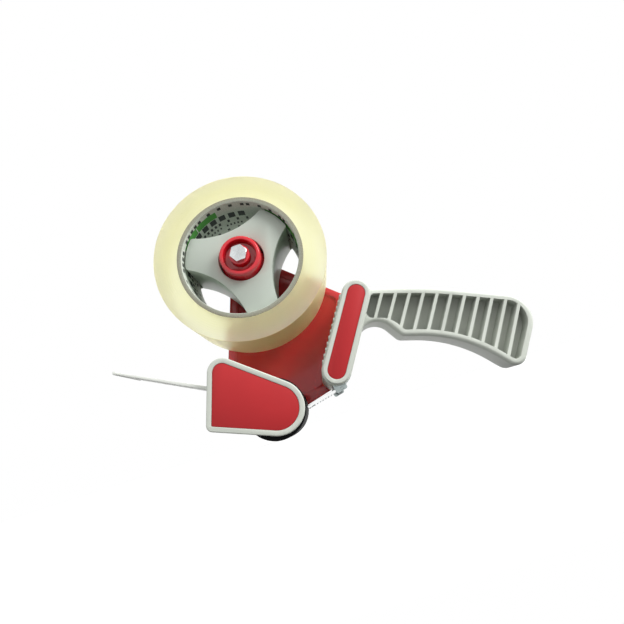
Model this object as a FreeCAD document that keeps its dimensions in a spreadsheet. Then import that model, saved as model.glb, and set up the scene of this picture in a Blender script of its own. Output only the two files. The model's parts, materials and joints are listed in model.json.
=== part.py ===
import FreeCAD, Part
import Sketcher
import math
import os

# Hand dispenser for carton sealing tape, pistol grip type, one side plate.
# Bench frame: origin on the stud axis in the near face of the tape roll,
# +X towards the grip, +Y away from the open side, +Z up. Millimetres and degrees.

SIZES = [
    # tape
    ("tape_width", "50", "width of tape, core and roll"),
    ("tape_diameter", "112.2", "outer diameter of a nearly full roll"),
    ("core_bore", "76.2", "bore of the card core"),
    ("core_wall", "3", "wall of the card core"),
    ("core_gap", "0.3", "play between the core and the hub's crush ribs"),
    # side plate
    ("plate_gap", "3", "gap between the roll and the side plate"),
    ("plate_thick", "1.6", "sheet thickness"),
    ("plate_press", "1", "depth of the pressed panel"),
    ("plate_border", "5.5", "flat border round the pressed panel"),
    ("plate_nose", "16", "radius of the plate round the stud"),
    ("plate_shoulder", "10.2", "radius of the plate round the handle's top"),
    ("plate_foot", "6", "radius of the plate round the handle's bottom"),
    ("plate_axle_lobe", "6.2", "radius of the plate round the roller axle"),
    ("plate_toe", "3.5", "radius of the plate's front lower corner"),
    ("plate_toe_reach", "11.5", "front lower corner, in front of the stud"),
    ("plate_toe_drop", "105", "front lower corner, below the stud"),
    ("panel_corner", "5", "corner radius of the pressed panel"),
    # handle
    ("head_reach", "61.7", "lower end of the handle head, behind the stud"),
    ("head_drop", "73.9", "lower end of the handle head, below the stud"),
    ("head_length", "49.7", "distance between the two round ends' centres"),
    ("head_tilt", "14.8", "lean of the head, degrees"),
    ("head_radius", "9.2", "radius of the head's round ends"),
    ("head_near", "0.6", "near face of the head"),
    ("cap_step", "0.7", "step from the head's edge in to the cap"),
    ("cap_thick", "3", "thickness of the head cap"),
    ("cap_rim", "2.8", "rim of the cap round the red panel"),
    ("rim_round", "0.8", "rounding of moulded rims"),
    ("panel_inset", "1.2", "depth of the recess for a red panel"),
    ("panel_thick", "1", "thickness of a red panel"),
    ("fit_gap", "0.1", "play round a set-in piece"),
    ("comb_radius", "0.9", "radius of a ridge on the head's tape side"),
    ("comb_pitch", "3.9", "pitch of the ridges"),
    ("comb_count", "12", "number of ridges"),
    ("grip_length", "114.6", "grip, from the head's top centre to its end"),
    ("grip_fall", "42.5", "grip, from the head's top centre down to the heel"),
    ("grip_near", "12", "near face of the grip"),
    ("grip_thick", "22", "thickness of the grip"),
    ("grip_web", "2.6", "web in the middle of the grip"),
    ("grip_rim", "4", "rim round the grip's pockets"),
    ("grip_round", "2.5", "rounding of the grip's outer edges"),
    ("grip_crest", "300", "radius of the long curve on top"),
    ("grip_back", "17.5", "radius of the grip's upper end"),
    ("grip_heel", "7.5", "radius of the heel"),
    ("grip_palm", "90", "radius of the long hollow below"),
    ("grip_bump", "6", "radius of the finger stop"),
    ("grip_arch", "13.5", "radius of the forefinger arch"),
    ("pocket_corner", "4", "radius of the pockets' end corners"),
    ("rib_count", "11", "number of grip ribs"),
    ("rib_pitch", "9.06", "pitch of the grip ribs"),
    ("rib_first", "17.9", "first rib, behind the head's top centre"),
    ("rib_thick", "2", "thickness of a grip rib"),
    ("rib_tilt", "16", "lean of the grip ribs, degrees"),
    # hub
    ("hub_face", "5.5", "near face of the hub"),
    ("hub_side", "1.5", "gap between the hub and the side plate"),
    ("hub_play", "1.1", "gap between the hub's lobes and the core's bore"),
    ("hub_waist", "20.8", "least radius of the hub's hollow sides"),
    ("hub_wall", "2.2", "wall of the hub"),
    ("hub_corner", "2", "rounding of the lobes' edges"),
    ("hub_turn", "54.5", "angle of the first lobe, degrees"),
    ("lobe_span", "34", "angle that a lobe's outer face spans, degrees"),
    ("well_radius", "15.2", "radius of the well for the knob"),
    ("well_depth", "14.5", "depth of the well"),
    ("crush_width", "1.6", "width of a crush rib"),
    ("crush_start", "10", "set-back of the crush ribs"),
    ("crush_angle", "10", "crush ribs, either side of a lobe's middle, degrees"),
    ("lug_height", "5", "height of the stop lugs behind the roll"),
    ("bearing_wall", "3", "wall of the hub's bearing tube"),
    # stud, brake
    ("sleeve_radius", "7", "outer radius of the bearing sleeve"),
    ("bolt_radius", "3", "radius of the brake bolt"),
    ("bolt_play", "0.1", "play of the bolt in its nut and knob"),
    ("hex_flats", "10", "width across the flats of hexagons"),
    ("hex_turn", "21", "first corner of the hexagons, degrees"),
    ("hex_height", "4", "height of the bolt head"),
    ("hex_front", "6.5", "front of the bolt head, before the roll"),
    ("nut_height", "5", "height of the nuts"),
    ("thread_proud", "1.4", "length of a thread beyond its nut"),
    ("running_gap", "0.1", "radial play of turning pieces"),
    ("side_gap", "0.5", "end play of turning pieces"),
    ("knob_play", "0.7", "gap between the knob's flange and the well"),
    ("knob_step", "1.2", "step from the knob's flange in to its wall"),
    ("knob_proud", "1.7", "front of the knob, before the roll"),
    ("knob_back", "15.2", "back of the knob, behind the roll's near face"),
    ("knob_dish", "10.2", "radius of the knob's dish"),
    ("knob_dish_depth", "6", "depth of the knob's dish"),
    ("knob_flange_thick", "3.6", "thickness of the knob's flange"),
    ("knob_boss", "6.6", "radius of the boss under the bolt head"),
    ("spring_seat", "8", "radius of the spring seat in the knob"),
    ("spring_seat_floor", "9", "floor of the spring seat"),
    ("washer_thick", "1.2", "thickness of washers"),
    ("pressure_radius", "10", "radius of the pressure washer"),
    ("friction_radius", "12.5", "radius of the friction washer"),
    ("spring_radius", "5.6", "mean radius of the brake spring"),
    ("spring_wire", "1.2", "wire of the brake spring"),
    ("spring_turns", "4", "turns of the brake spring"),
    ("spring_flats", "8", "flats round the spring's wire"),
    # roller
    ("roller_reach", "24.4", "roller axle, behind the stud"),
    ("roller_drop", "97.1", "roller axle, below the stud"),
    ("roller_radius", "18.8", "outer radius of the roller"),
    ("roller_start", "0.5", "near face of the roller"),
    ("roller_side", "1.5", "gap between the roller and the side plate"),
    ("tyre_wall", "3.2", "wall of the rubber tyre"),
    ("roller_rim", "2.4", "rim of the roller's plastic core"),
    ("roller_boss", "6", "radius of the core's boss"),
    ("roller_web", "6", "web in the middle of the core"),
    ("axle_radius", "3", "radius of the roller axle"),
    # front cover
    ("cover_front", "5.6", "front of the front cover, before the roll"),
    ("cover_thick", "5", "thickness of the front cover"),
    ("cover_rim", "3.2", "rim of the cover round its red panel"),
    ("cover_end", "16.4", "radius of the cover's round end"),
    ("cover_end_back", "1.8", "centre of the round end, behind the axle"),
    ("cover_end_rise", "0.7", "centre of the round end, above the axle"),
    ("cover_brow", "9", "radius of the cover's upper front corner"),
    ("cover_brow_reach", "7.6", "upper front corner, in front of the stud"),
    ("cover_brow_drop", "75.7", "upper front corner, below the stud"),
    ("cover_chin", "4", "radius of the cover's lower front corner"),
    ("cover_chin_reach", "11.6", "lower front corner, in front of the stud"),
    ("cover_chin_drop", "106.6", "lower front corner, below the stud"),
    # blade
    ("blade_reach", "0.5", "blade root, behind the stud"),
    ("blade_drop", "93.5", "blade root, below the stud"),
    ("blade_tilt", "33", "lean of the blade, degrees"),
    ("blade_length", "17", "length of the blade with its teeth"),
    ("blade_thick", "0.8", "thickness of the blade"),
    ("blade_side", "1.5", "gap between the blade and the side plate"),
    ("tooth_pitch", "2.5", "pitch of the teeth"),
    ("tooth_depth", "2.2", "depth of the teeth"),
    ("bar_length", "11", "height of the blade bar"),
    ("bar_thick", "5", "thickness of the blade bar"),
    # wiper
    ("wiper_ahead", "7.5", "wiper pin, in front of the blade root"),
    ("wiper_rise", "7.4", "wiper pin, above the blade root"),
    ("wiper_tilt", "8.9", "lean of the wiper leaf, degrees"),
    ("wiper_length", "70.5", "length of the wiper leaf"),
    ("wiper_start", "3", "near edge of the wiper leaf"),
    ("wiper_side", "6", "gap between the wiper leaf and the side plate"),
    ("wiper_root", "2.2", "thickness of the leaf at its root"),
    ("wiper_tip", "1.2", "thickness of the leaf at its tip"),
    ("wiper_bead", "1.1", "radius of the bead on the tip"),
    ("wiper_eye", "2.9", "radius of the leaf's eye"),
    ("wiper_pin", "1.5", "radius of the wiper pin"),
    # gate
    ("gate_pin", "0.8", "radius of the gate's pin"),
    ("gate_eye", "1.5", "radius of the gate's knuckle"),
    ("gate_thick", "0.8", "thickness of the gate"),
    ("gate_gap", "0.4", "gap between the gate and the roller"),
    ("gate_angle", "74", "place of the pin under the head, degrees"),
    ("gate_meet", "5", "where the gate meets the roller, above the axle, degrees"),
    ("ear_front", "4.1", "bracket ears, in front of the pin"),
    ("ear_back", "3.4", "bracket ears, behind the pin"),
    ("ear_rise", "4", "bracket ears, above the pin"),
    ("saddle_start", "59", "front end of the bracket's saddle, degrees"),
    ("saddle_span", "43", "angle that the bracket's saddle spans, degrees"),
    ("saddle_ease", "1", "play at the saddle's edges in the head, degrees"),
    ("saddle_inset", "14", "bracket screws, from the saddle's ends"),
    ("gate_start", "4", "near edge of the gate"),
    ("gate_side", "4", "gap between the gate and the side plate"),
    ("bracket_thick", "1.2", "sheet of the gate bracket"),
    ("bracket_start", "1.2", "near face of the gate bracket"),
    ("bracket_side", "0.8", "gap between the gate bracket and the side plate"),
    # fasteners
    ("screw_radius", "1.9", "radius of the plate screws"),
    ("screw_head", "3.6", "radius of the plate screws' heads"),
    ("screw_head_height", "2.2", "height of the plate screws' heads"),
    ("screw_length", "14", "length of the plate screws"),
    ("small_screw", "1.4", "radius of the small screws"),
    ("small_head", "2.6", "radius of the small screws' heads"),
    ("small_head_height", "1.4", "height of the small screws' heads"),
    ("small_length", "8", "length of the small screws"),
    ("blade_screw_inset", "10", "blade screws, from the blade's ends"),
    ("overrun", "2", "how far a cut runs past its face"),
]

# Sizes that follow from those above.
FITS = [
    ("plate_face", "tape_width + plate_gap", "near face of the side plate"),
    ("cap_radius", "head_radius - cap_step", "radius of the head cap"),
    ("hub_depth", "plate_face - hub_face - hub_side", "depth of the hub"),
    ("hub_radius", "core_bore / 2 - hub_play", "radius of the hub's lobes"),
    ("knob_flange", "well_radius - knob_play", "radius of the knob's flange"),
    ("knob_radius", "knob_flange - knob_step", "radius of the knob"),
    ("bolt_end", "plate_face + plate_press + plate_thick + nut_height + thread_proud",
     "far end of the brake bolt"),
    ("roller_length", "plate_face - roller_start - roller_side", "length of the roller"),
    ("axle_end", "plate_face + plate_thick + nut_height + thread_proud",
     "far end of the roller axle"),
    ("blade_width", "plate_face - 2 * blade_side", "width of the blade"),
    ("wiper_width", "plate_face - wiper_start - wiper_side", "width of the wiper leaf"),
    ("gate_width", "plate_face - gate_start - gate_side", "width of the gate"),
    ("bracket_length", "plate_face - bracket_start - bracket_side", "length of the gate bracket"),
]

Y_AXIS = FreeCAD.Vector(0, 1, 0)
Z_AXIS = FreeCAD.Vector(0, 0, 1)
TOUCH = 1e-6

doc = FreeCAD.newDocument("tape_dispenser")
sheet = doc.addObject("Spreadsheet::Sheet", "sizes")
for row, (alias, value, meaning) in enumerate(SIZES, start=1):
    sheet.set("A%d" % row, meaning)
    sheet.set("B%d" % row, value)
    sheet.setAlias("B%d" % row, alias)
doc.recompute()
S = {alias: float(sheet.get(alias)) for alias, value, meaning in SIZES}
owners = {alias: "sizes." for alias in S}
pieces = []


def place(x=0, y=0, z=0, turn=0):
    """Placement in the bench frame, turned about the Y axis."""
    return FreeCAD.Placement(FreeCAD.Vector(x, y, z), FreeCAD.Rotation(Y_AXIS, turn))


def keep(piece, label, spot=None):
    """Name a finished sub-part and note where it sits in the bench frame."""
    piece.Label = label
    pieces.append((piece, spot or FreeCAD.Placement()))
    return piece


def bind(thing, **formulas):
    """Bind properties to formulas of the sheet's aliases."""
    for name, formula in formulas.items():
        thing.setExpression(name, formula)


def spell(formula):
    """Write every size's name in a formula as a cell of the sheet or one of the fits."""
    words = formula.replace("(", " ( ").replace(")", " ) ").split()
    return " ".join(owners.get(word, "") + word for word in words)


fits = doc.addObject("App::VarSet", "fits")
for name, formula, meaning in FITS:
    fits.addProperty("App::PropertyFloat", name, "Fits", meaning)
    fits.setExpression(name, spell(formula))
    doc.recompute()
    S[name] = getattr(fits, name)
    owners[name] = "fits."


# Plane outlines, as (x, z) pairs in the plane of the side plate.

def point(x, z):
    return FreeCAD.Vector(x, z, 0)


def polar(radius, degrees, centre=(0, 0)):
    angle = math.radians(degrees)
    return (centre[0] + radius * math.cos(angle), centre[1] + radius * math.sin(angle))


def arc(start, middle, end):
    return Part.Arc(point(*start), point(*middle), point(*end))


def line(start, end):
    return Part.LineSegment(point(*start), point(*end))


def belt(circles):
    """Outline of a belt round circles (x, z, radius), listed anticlockwise."""
    count = len(circles)
    normals = []
    for index, (x1, z1, r1) in enumerate(circles):
        x2, z2, r2 = circles[(index + 1) % count]
        span = math.hypot(x2 - x1, z2 - z1)
        heading = math.atan2(z2 - z1, x2 - x1)
        normals.append(math.degrees(heading - math.acos((r1 - r2) / span)))
    curves = []
    for index, (x1, z1, r1) in enumerate(circles):
        x2, z2, r2 = circles[(index + 1) % count]
        first, last = normals[index - 1], normals[index]
        middle = first + ((last - first) % 360) / 2
        ends = [polar(r1, angle, (x1, z1)) for angle in (first, middle, last)]
        curves.append(arc(*ends))
        curves.append(line(ends[2], polar(r2, last, (x2, z2))))
    return curves


def corner_arc(before, corner, after, radius):
    """Start, middle, end and centre of the arc that rounds a corner."""
    back = FreeCAD.Vector(before[0] - corner[0], before[1] - corner[1], 0).normalize()
    ahead = FreeCAD.Vector(after[0] - corner[0], after[1] - corner[1], 0).normalize()
    half = back.getAngle(ahead) / 2
    tip = point(*corner)
    run = radius / math.tan(half)
    inward = (back + ahead).normalize()
    centre = tip + inward * (radius / math.sin(half))
    middle = centre - inward * radius
    return [(v.x, v.y) for v in (tip + back * run, middle, tip + ahead * run, centre)]


def tangent_run(before, corner, after, radius):
    """How much of each side a rounded corner takes."""
    start = corner_arc(before, corner, after, radius)[0]
    return math.dist(start, corner)


def fitted_radii(corners, radii):
    """Corner radii, reduced only where two arcs would meet on one side."""
    count = len(corners)
    runs = [tangent_run(corners[i - 1], corners[i], corners[(i + 1) % count], radii[i])
            for i in range(count)]
    fitted = list(radii)
    for i in range(count):
        j = (i + 1) % count
        room = math.dist(corners[i], corners[j])
        if runs[i] + runs[j] > room:
            share = room / (runs[i] + runs[j])
            fitted[i] = min(fitted[i], radii[i] * share)
            fitted[j] = min(fitted[j], radii[j] * share)
    return fitted


def rounded(corners, radii):
    """Outline through corners, each rounded by its own radius."""
    count = len(corners)
    radii = fitted_radii(corners, radii)
    arcs = [corner_arc(corners[i - 1], corners[i], corners[(i + 1) % count], radii[i])
            for i in range(count)]
    curves = []
    for i, (start, middle, end, centre) in enumerate(arcs):
        curves.append(arc(start, middle, end))
        following = arcs[(i + 1) % count][0]
        if math.dist(end, following) > TOUCH:
            curves.append(line(end, following))
    return curves


def polygon(corners):
    return [line(corners[i - 1], corners[i]) for i in range(len(corners))]


def shrunk(corners, gap):
    """Corners of a clockwise outline whose sides are moved inwards by a gap."""
    count = len(corners)
    moved = []
    for i in range(count):
        a, b, c = [point(*corners[k % count]) for k in (i - 1, i, i + 1)]
        first, second = (b - a).normalize(), (c - b).normalize()
        left = FreeCAD.Vector(first.y, -first.x, 0) * gap
        right = FreeCAD.Vector(second.y, -second.x, 0) * gap
        start, other = a + left, b + right
        cross = first.x * second.y - first.y * second.x
        step = ((other.x - start.x) * second.y - (other.y - start.y) * second.x) / cross
        moved.append((start.x + first.x * step, start.y + first.y * step))
    return moved


def sector(inner, outer, first, last, centre=(0, 0)):
    """Ring sector between two radii and two angles."""
    middle = (first + last) / 2
    near = [polar(inner, angle, centre) for angle in (first, middle, last)]
    far = [polar(outer, angle, centre) for angle in (last, middle, first)]
    return [arc(*near), line(near[2], far[0]), arc(*far), line(far[2], near[0])]


# Features, each bound to the sheet.

def new_body(name):
    return doc.addObject("PartDesign::Body", name)


def plane_of(body, role):
    return [item for item in body.Origin.OriginFeatures if item.Role == role][0]


def sketch_on(body, role, name, setback=None, curves=()):
    """Sketch on an origin plane; on XZ_Plane a setback moves it along +Y."""
    sketch = body.newObject("Sketcher::SketchObject", name)
    sketch.AttachmentSupport = (plane_of(body, role), [""])
    sketch.MapMode = "FlatFace"
    if setback:
        sketch.setExpression("AttachmentOffset.Base.z", "-( %s )" % spell(setback))
    for curve in curves:
        sketch.addGeometry(curve, False)
    return sketch


def circle_in(sketch, radius, x=0, z=0):
    """Circle whose radius follows a formula of the sheet."""
    index = sketch.addGeometry(Part.Circle(point(x, z), Z_AXIS, 1), False)
    mark = sketch.addConstraint(Sketcher.Constraint("Radius", index, 1))
    sketch.setExpression("Constraints[%d]" % mark, spell(radius))
    for axis, value in (("DistanceX", x), ("DistanceY", z)):
        sketch.addConstraint(Sketcher.Constraint(axis, -1, 1, index, 3, value))
    return sketch


def pad(body, name, sketch, depth):
    """Pad from the sketch's plane along +Y."""
    feature = body.newObject("PartDesign::Pad", name)
    feature.Profile = sketch
    feature.Reversed = True
    feature.setExpression("Length", spell(depth))
    sketch.Visibility = False
    return feature


def pocket(body, name, sketch, depth):
    """Pocket from the sketch's plane along +Y."""
    feature = body.newObject("PartDesign::Pocket", name)
    feature.Profile = sketch
    feature.Reversed = False
    feature.setExpression("Length", spell(depth))
    sketch.Visibility = False
    return feature


def turned(body, name, profile):
    """Solid of revolution about the Y axis from (radius, y) corners."""
    sketch = sketch_on(body, "XY_Plane", name + "_profile", None, polygon(profile))
    feature = body.newObject("PartDesign::Revolution", name)
    feature.Profile = sketch
    feature.ReferenceAxis = (sketch, ["V_Axis"])
    feature.Angle = 360
    sketch.Visibility = False
    return feature


def tube(name, inner, outer, start, length):
    """Ring or tube along Y as a body of one pad and one pocket."""
    body = new_body(name)
    rim = circle_in(sketch_on(body, "XZ_Plane", name + "_rim", start), outer)
    pad(body, name + "_pad", rim, length)
    bore = circle_in(sketch_on(body, "XZ_Plane", name + "_bore", start), inner)
    pocket(body, name + "_hole", bore, length)
    return body


def pin(name, radius, start, length):
    """Plain pin along Y as a body of one pad."""
    body = new_body(name)
    circle = circle_in(sketch_on(body, "XZ_Plane", name + "_circle", start), radius)
    pad(body, name + "_pad", circle, length)
    return body


def rod(name, radius, start, length, x=0, z=0):
    """Part cylinder along Y, bound to the sheet."""
    cylinder = doc.addObject("Part::Cylinder", name)
    cylinder.Placement = FreeCAD.Placement(
        FreeCAD.Vector(x, 0, z), FreeCAD.Rotation(FreeCAD.Vector(1, 0, 0), -90))
    bind(cylinder, Radius=spell(radius), Height=spell(length))
    cylinder.setExpression("Placement.Base.y", spell(start))
    return cylinder


# Places worked out from the sizes.

def head_frame():
    """Centres of the head's lower and upper round end, and its unit vectors."""
    lean = math.radians(S["head_tilt"])
    along = (math.sin(lean), math.cos(lean))
    across = (math.cos(lean), -math.sin(lean))
    foot = (S["head_reach"], -S["head_drop"])
    top = (foot[0] + along[0] * S["head_length"], foot[1] + along[1] * S["head_length"])
    return foot, top, along, across


FOOT, TOP, ALONG, ACROSS = head_frame()
AXLE = (S["roller_reach"], -S["roller_drop"])
BLADE = (S["blade_reach"], -S["blade_drop"])
WIPER = (BLADE[0] - S["wiper_ahead"], BLADE[1] + S["wiper_rise"])
GATE = polar(S["head_radius"] + S["gate_eye"] + S["gate_gap"], -S["gate_angle"], FOOT)


def slot(radius):
    return belt([(FOOT[0], FOOT[1], radius), (TOP[0], TOP[1], radius)])


# Corners of the grip, clockwise from the head, as shares of its length and fall.
GRIP_SHARES = {
    "crest": (0.455, 0.180),
    "back": (1.051, 0.008),
    "heel": (0.919, -1.124),
    "palm": (0.588, -0.570),
    "bump": (0.263, -0.586),
    "arch": (0.081, -0.165),
    "root_low": (-0.015, -0.828),
    "root_high": (-0.004, 0.175),
    "pocket_arch": (0.191, -0.400),
}


def grip_corner(name):
    share_x, share_z = GRIP_SHARES[name]
    return (TOP[0] + share_x * S["grip_length"], TOP[1] + share_z * S["grip_fall"])


def beside_head(reach, height):
    """Point beside the head: across its axis, at a height of the bench frame."""
    step = (height - TOP[1] - ACROSS[1] * reach) / ALONG[1]
    return (TOP[0] + ACROSS[0] * reach + ALONG[0] * step, height)


GRIP_NAMES = ["crest", "back", "heel", "palm", "bump", "arch", "root_low", "root_high"]
GRIP_RADII = [S["grip_crest"], S["grip_back"], S["grip_heel"], S["grip_palm"],
              S["grip_bump"], S["grip_arch"], S["grip_round"], S["grip_round"]]


def grip_outline():
    return rounded([grip_corner(name) for name in GRIP_NAMES], GRIP_RADII)


def heel_centre():
    corners = [grip_corner(name) for name in ("back", "heel", "palm")]
    return corner_arc(*corners, S["grip_heel"])[3]


def pocket_outline():
    """The grip's outline moved in by its rim, closed beside the head."""
    rim = S["grip_rim"]
    beside = S["head_radius"] - rim
    names = ["crest", "back", "heel", "palm", "bump", "pocket_arch"]
    corners = [grip_corner(name) for name in names]
    corners.append(beside_head(beside, corners[-1][1]))
    corners.append(beside_head(beside, grip_corner("root_high")[1]))
    radii = [S["grip_crest"] - rim, S["grip_back"] - rim, S["grip_heel"] - rim,
             S["grip_palm"] + rim, S["grip_bump"] - rim, S["grip_arch"] + rim,
             S["pocket_corner"], S["pocket_corner"]]
    return rounded(shrunk(corners, rim), radii)


# Tape

def make_tape():
    core_outer = "core_bore / 2 + core_wall"
    keep(tube("core", "core_bore / 2", core_outer, "0", "tape_width"), "tape_core")
    keep(tube("roll", core_outer, "tape_diameter / 2", "0", "tape_width"), "tape_roll")


# Side plate

def plate_belt():
    return [
        (0, 0, S["plate_nose"]),
        (-S["plate_toe_reach"], -S["plate_toe_drop"], S["plate_toe"]),
        (AXLE[0], AXLE[1], S["plate_axle_lobe"]),
        (FOOT[0], FOOT[1], S["plate_foot"]),
        (TOP[0], TOP[1], S["plate_shoulder"]),
    ]


def panel_belt():
    """Pressed panel: inside the border, clear of the head and the roller axle."""
    border, corner = S["plate_border"], S["panel_corner"]
    left = -(S["head_radius"] + border + corner / 2)
    upper = beside_head(left, TOP[1] + corner + border / 2)
    lower = beside_head(left, FOOT[1] - corner)
    front = S["plate_nose"] - border - corner
    return [
        (0, 0, S["plate_nose"] - border),
        (-front, lower[1], corner),
        (lower[0], lower[1], corner),
        (upper[0], upper[1], corner),
    ]


def plate_screw_spots():
    return [FOOT, TOP]


def blade_point(along, off):
    """Point of the bench plane from the blade's root: down the blade, and ahead of it."""
    lean = math.radians(S["blade_tilt"])
    return (BLADE[0] - along * math.sin(lean) - off * math.cos(lean),
            BLADE[1] - along * math.cos(lean) + off * math.sin(lean))


def bar_screw_spot():
    return blade_point(S["bar_length"] / 2, S["bar_thick"] / 2)


def make_side_plate():
    body = new_body("plate")
    flat = sketch_on(body, "XZ_Plane", "plate_outline", "plate_face", belt(plate_belt()))
    pad(body, "plate_sheet", flat, "plate_thick")
    raised = sketch_on(body, "XZ_Plane", "plate_raise", "plate_face", belt(panel_belt()))
    pad(body, "plate_raised", raised, "plate_thick + plate_press")
    near_side = belt(shrink_belt(panel_belt()))
    pressed = sketch_on(body, "XZ_Plane", "plate_pressing", "plate_face", near_side)
    pocket(body, "plate_pressed", pressed, "plate_press")
    holes = sketch_on(body, "XZ_Plane", "plate_holes", "plate_face - overrun")
    circle_in(holes, "bolt_radius + bolt_play")
    circle_in(holes, "axle_radius + bolt_play", *AXLE)
    circle_in(holes, "wiper_pin + fit_gap", *WIPER)
    circle_in(holes, "small_screw + fit_gap", *bar_screw_spot())
    for spot in plate_screw_spots():
        circle_in(holes, "screw_radius + fit_gap", *spot)
    pocket(body, "plate_bores", holes, "plate_thick + plate_press + 2 * overrun")
    keep(body, "side_plate")


def shrink_belt(circles):
    """The near side of the pressed panel is smaller by about the sheet's thickness."""
    return [(x, z, radius - S["plate_press"] / 2) for x, z, radius in circles]


# Handle

def comb_spots():
    """Centres of the ridges on the side of the head that the tape runs over."""
    run = (S["comb_count"] - 1) * S["comb_pitch"]
    start = (S["head_length"] - run) / 2
    spots = []
    for index in range(int(S["comb_count"])):
        step = start + index * S["comb_pitch"]
        spots.append((FOOT[0] + ALONG[0] * step - ACROSS[0] * S["head_radius"],
                      FOOT[1] + ALONG[1] * step - ACROSS[1] * S["head_radius"]))
    return spots


def handle_block():
    """Head, comb and grip before the pockets are sunk."""
    body = new_body("handle_block")
    outline = sketch_on(body, "XZ_Plane", "grip_outline", "grip_near", grip_outline())
    pad(body, "grip", outline, "grip_thick")
    doc.recompute()
    soften(body, body.Tip, "grip_soft", "grip_round", S["grip_near"], S["grip_near"] + S["grip_thick"])
    pad(body, "head", sketch_on(body, "XZ_Plane", "head_outline", "head_near", slot(S["head_radius"])),
        "plate_face - head_near")
    comb = sketch_on(body, "XZ_Plane", "comb_outline", "head_near")
    for spot in comb_spots():
        circle_in(comb, "comb_radius", *spot)
    pad(body, "comb", comb, "plate_face - head_near")
    return body


def soften(body, base, name, radius, *levels):
    """Round the edges of a pad that lie in the planes y = level."""
    edges = []
    for index, edge in enumerate(base.Shape.Edges, start=1):
        box = edge.BoundBox
        if any(abs(box.YMin - level) < TOUCH and abs(box.YMax - level) < TOUCH for level in levels):
            edges.append("Edge%d" % index)
    feature = body.newObject("PartDesign::Fillet", name)
    feature.Base = (base, edges)
    feature.setExpression("Radius", spell(radius))
    return feature


def rib_array():
    """Slabs that stay as ribs, hung from their crests, and the web between the rows of pockets."""
    slabs = []
    for index in range(int(S["rib_count"])):
        slab = doc.addObject("Part::Box", "rib_%02d" % (index + 1))
        bind(slab, Length=spell("rib_thick"), Width=spell("grip_thick + 2 * overrun"),
             Height=spell("2 * grip_fall"))
        x = TOP[0] + S["rib_first"] + index * S["rib_pitch"]
        lean = FreeCAD.Rotation(Y_AXIS, S["rib_tilt"])
        middle = FreeCAD.Vector(S["rib_thick"] / 2, 0, S["grip_fall"] * 1.5)
        crest = FreeCAD.Vector(x, S["grip_near"] - S["overrun"], TOP[1] + S["grip_rim"])
        slab.Placement = FreeCAD.Placement(crest - lean.multVec(middle), lean)
        slabs.append(slab)
    web = doc.addObject("Part::Box", "grip_web_slab")
    bind(web, Length=spell("2 * grip_length"), Width=spell("grip_web"), Height=spell("4 * grip_fall"))
    web.Placement.Base = FreeCAD.Vector(FOOT[0], 0, TOP[1] - 2 * S["grip_fall"])
    web.setExpression("Placement.Base.y", spell("grip_near + ( grip_thick - grip_web ) / 2"))
    kept = doc.addObject("Part::MultiFuse", "rib_array")
    kept.Shapes = slabs + [web]
    return kept


def make_handle():
    pockets = new_body("pocket_block")
    sketch = sketch_on(pockets, "XZ_Plane", "pocket_outline", "grip_near - overrun", pocket_outline())
    pad(pockets, "pocket_prism", sketch, "grip_thick + 2 * overrun")
    cells = doc.addObject("Part::Cut", "pocket_cells")
    cells.Base = pockets
    cells.Tool = rib_array()
    bores = [rod("head_bore_%d" % index, "screw_radius + fit_gap", "plate_face - screw_length",
                 "screw_length + overrun", *spot)
             for index, spot in enumerate(plate_screw_spots(), start=1)]
    cutters = doc.addObject("Part::MultiFuse", "handle_cutters")
    wide = "small_screw + fit_gap"
    bores += bracket_screw_cones("bracket_screw_bore", wide, wide, -S["small_length"], "small_length")
    cutters.Shapes = [cells, saddle_recess()] + bores
    handle = doc.addObject("Part::Cut", "handle_cut")
    handle.Base = handle_block()
    handle.Tool = cutters
    keep(handle, "handle")


def make_head_cap():
    body = new_body("cap")
    pad(body, "cap_slab", sketch_on(body, "XZ_Plane", "cap_outline", "head_near - cap_thick",
                                    slot(S["cap_radius"])), "cap_thick")
    doc.recompute()
    soften(body, body.Tip, "cap_soft", "rim_round", S["head_near"] - S["cap_thick"])
    seat = sketch_on(body, "XZ_Plane", "cap_seat", "head_near - cap_thick",
                     slot(S["cap_radius"] - S["cap_rim"]))
    pocket(body, "cap_recess", seat, "panel_inset")
    keep(body, "head_cap")
    panel = new_body("oval_panel")
    oval = sketch_on(panel, "XZ_Plane", "oval_outline", "head_near - cap_thick + panel_inset - panel_thick",
                     slot(S["cap_radius"] - S["cap_rim"] - S["fit_gap"]))
    pad(panel, "oval_sheet", oval, "panel_thick")
    keep(panel, "head_panel")


def fused(name, base, tool):
    joined = doc.addObject("Part::Fuse", name)
    joined.Base = base
    joined.Tool = tool
    return joined


def pan_screws(label, spots, face, length, shank, head, height):
    """Pan head screws driven in along -Y from a face, one solid each."""
    screws = []
    for index, (x, z) in enumerate(spots, start=1):
        stem = rod("%s_stem_%d" % (label, index), shank, "%s - %s" % (face, length),
                   "%s + %s" % (length, height), x, z)
        cap = rod("%s_head_%d" % (label, index), head, face, height, x, z)
        screws.append(fused("%s_%d" % (label, index), stem, cap))
    return screws


def make_head_screws():
    group = doc.addObject("Part::Compound", "head_screw_group")
    group.Links = pan_screws("head_screw", plate_screw_spots(), "plate_face + plate_thick",
                             "screw_length", "screw_radius", "screw_head", "screw_head_height")
    keep(group, "head_screws")


# Hub

def lobed_outline():
    """Three lobes joined by hollow sides, anticlockwise."""
    half = S["lobe_span"] / 2
    curves = []
    for lobe in range(3):
        middle = S["hub_turn"] + 120 * lobe
        last = polar(S["hub_radius"], middle + half)
        following = polar(S["hub_radius"], middle + 120 - half)
        curves.append(arc(polar(S["hub_radius"], middle - half), polar(S["hub_radius"], middle), last))
        curves.append(arc(last, polar(S["hub_waist"], middle + 60), following))
    return curves


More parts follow.
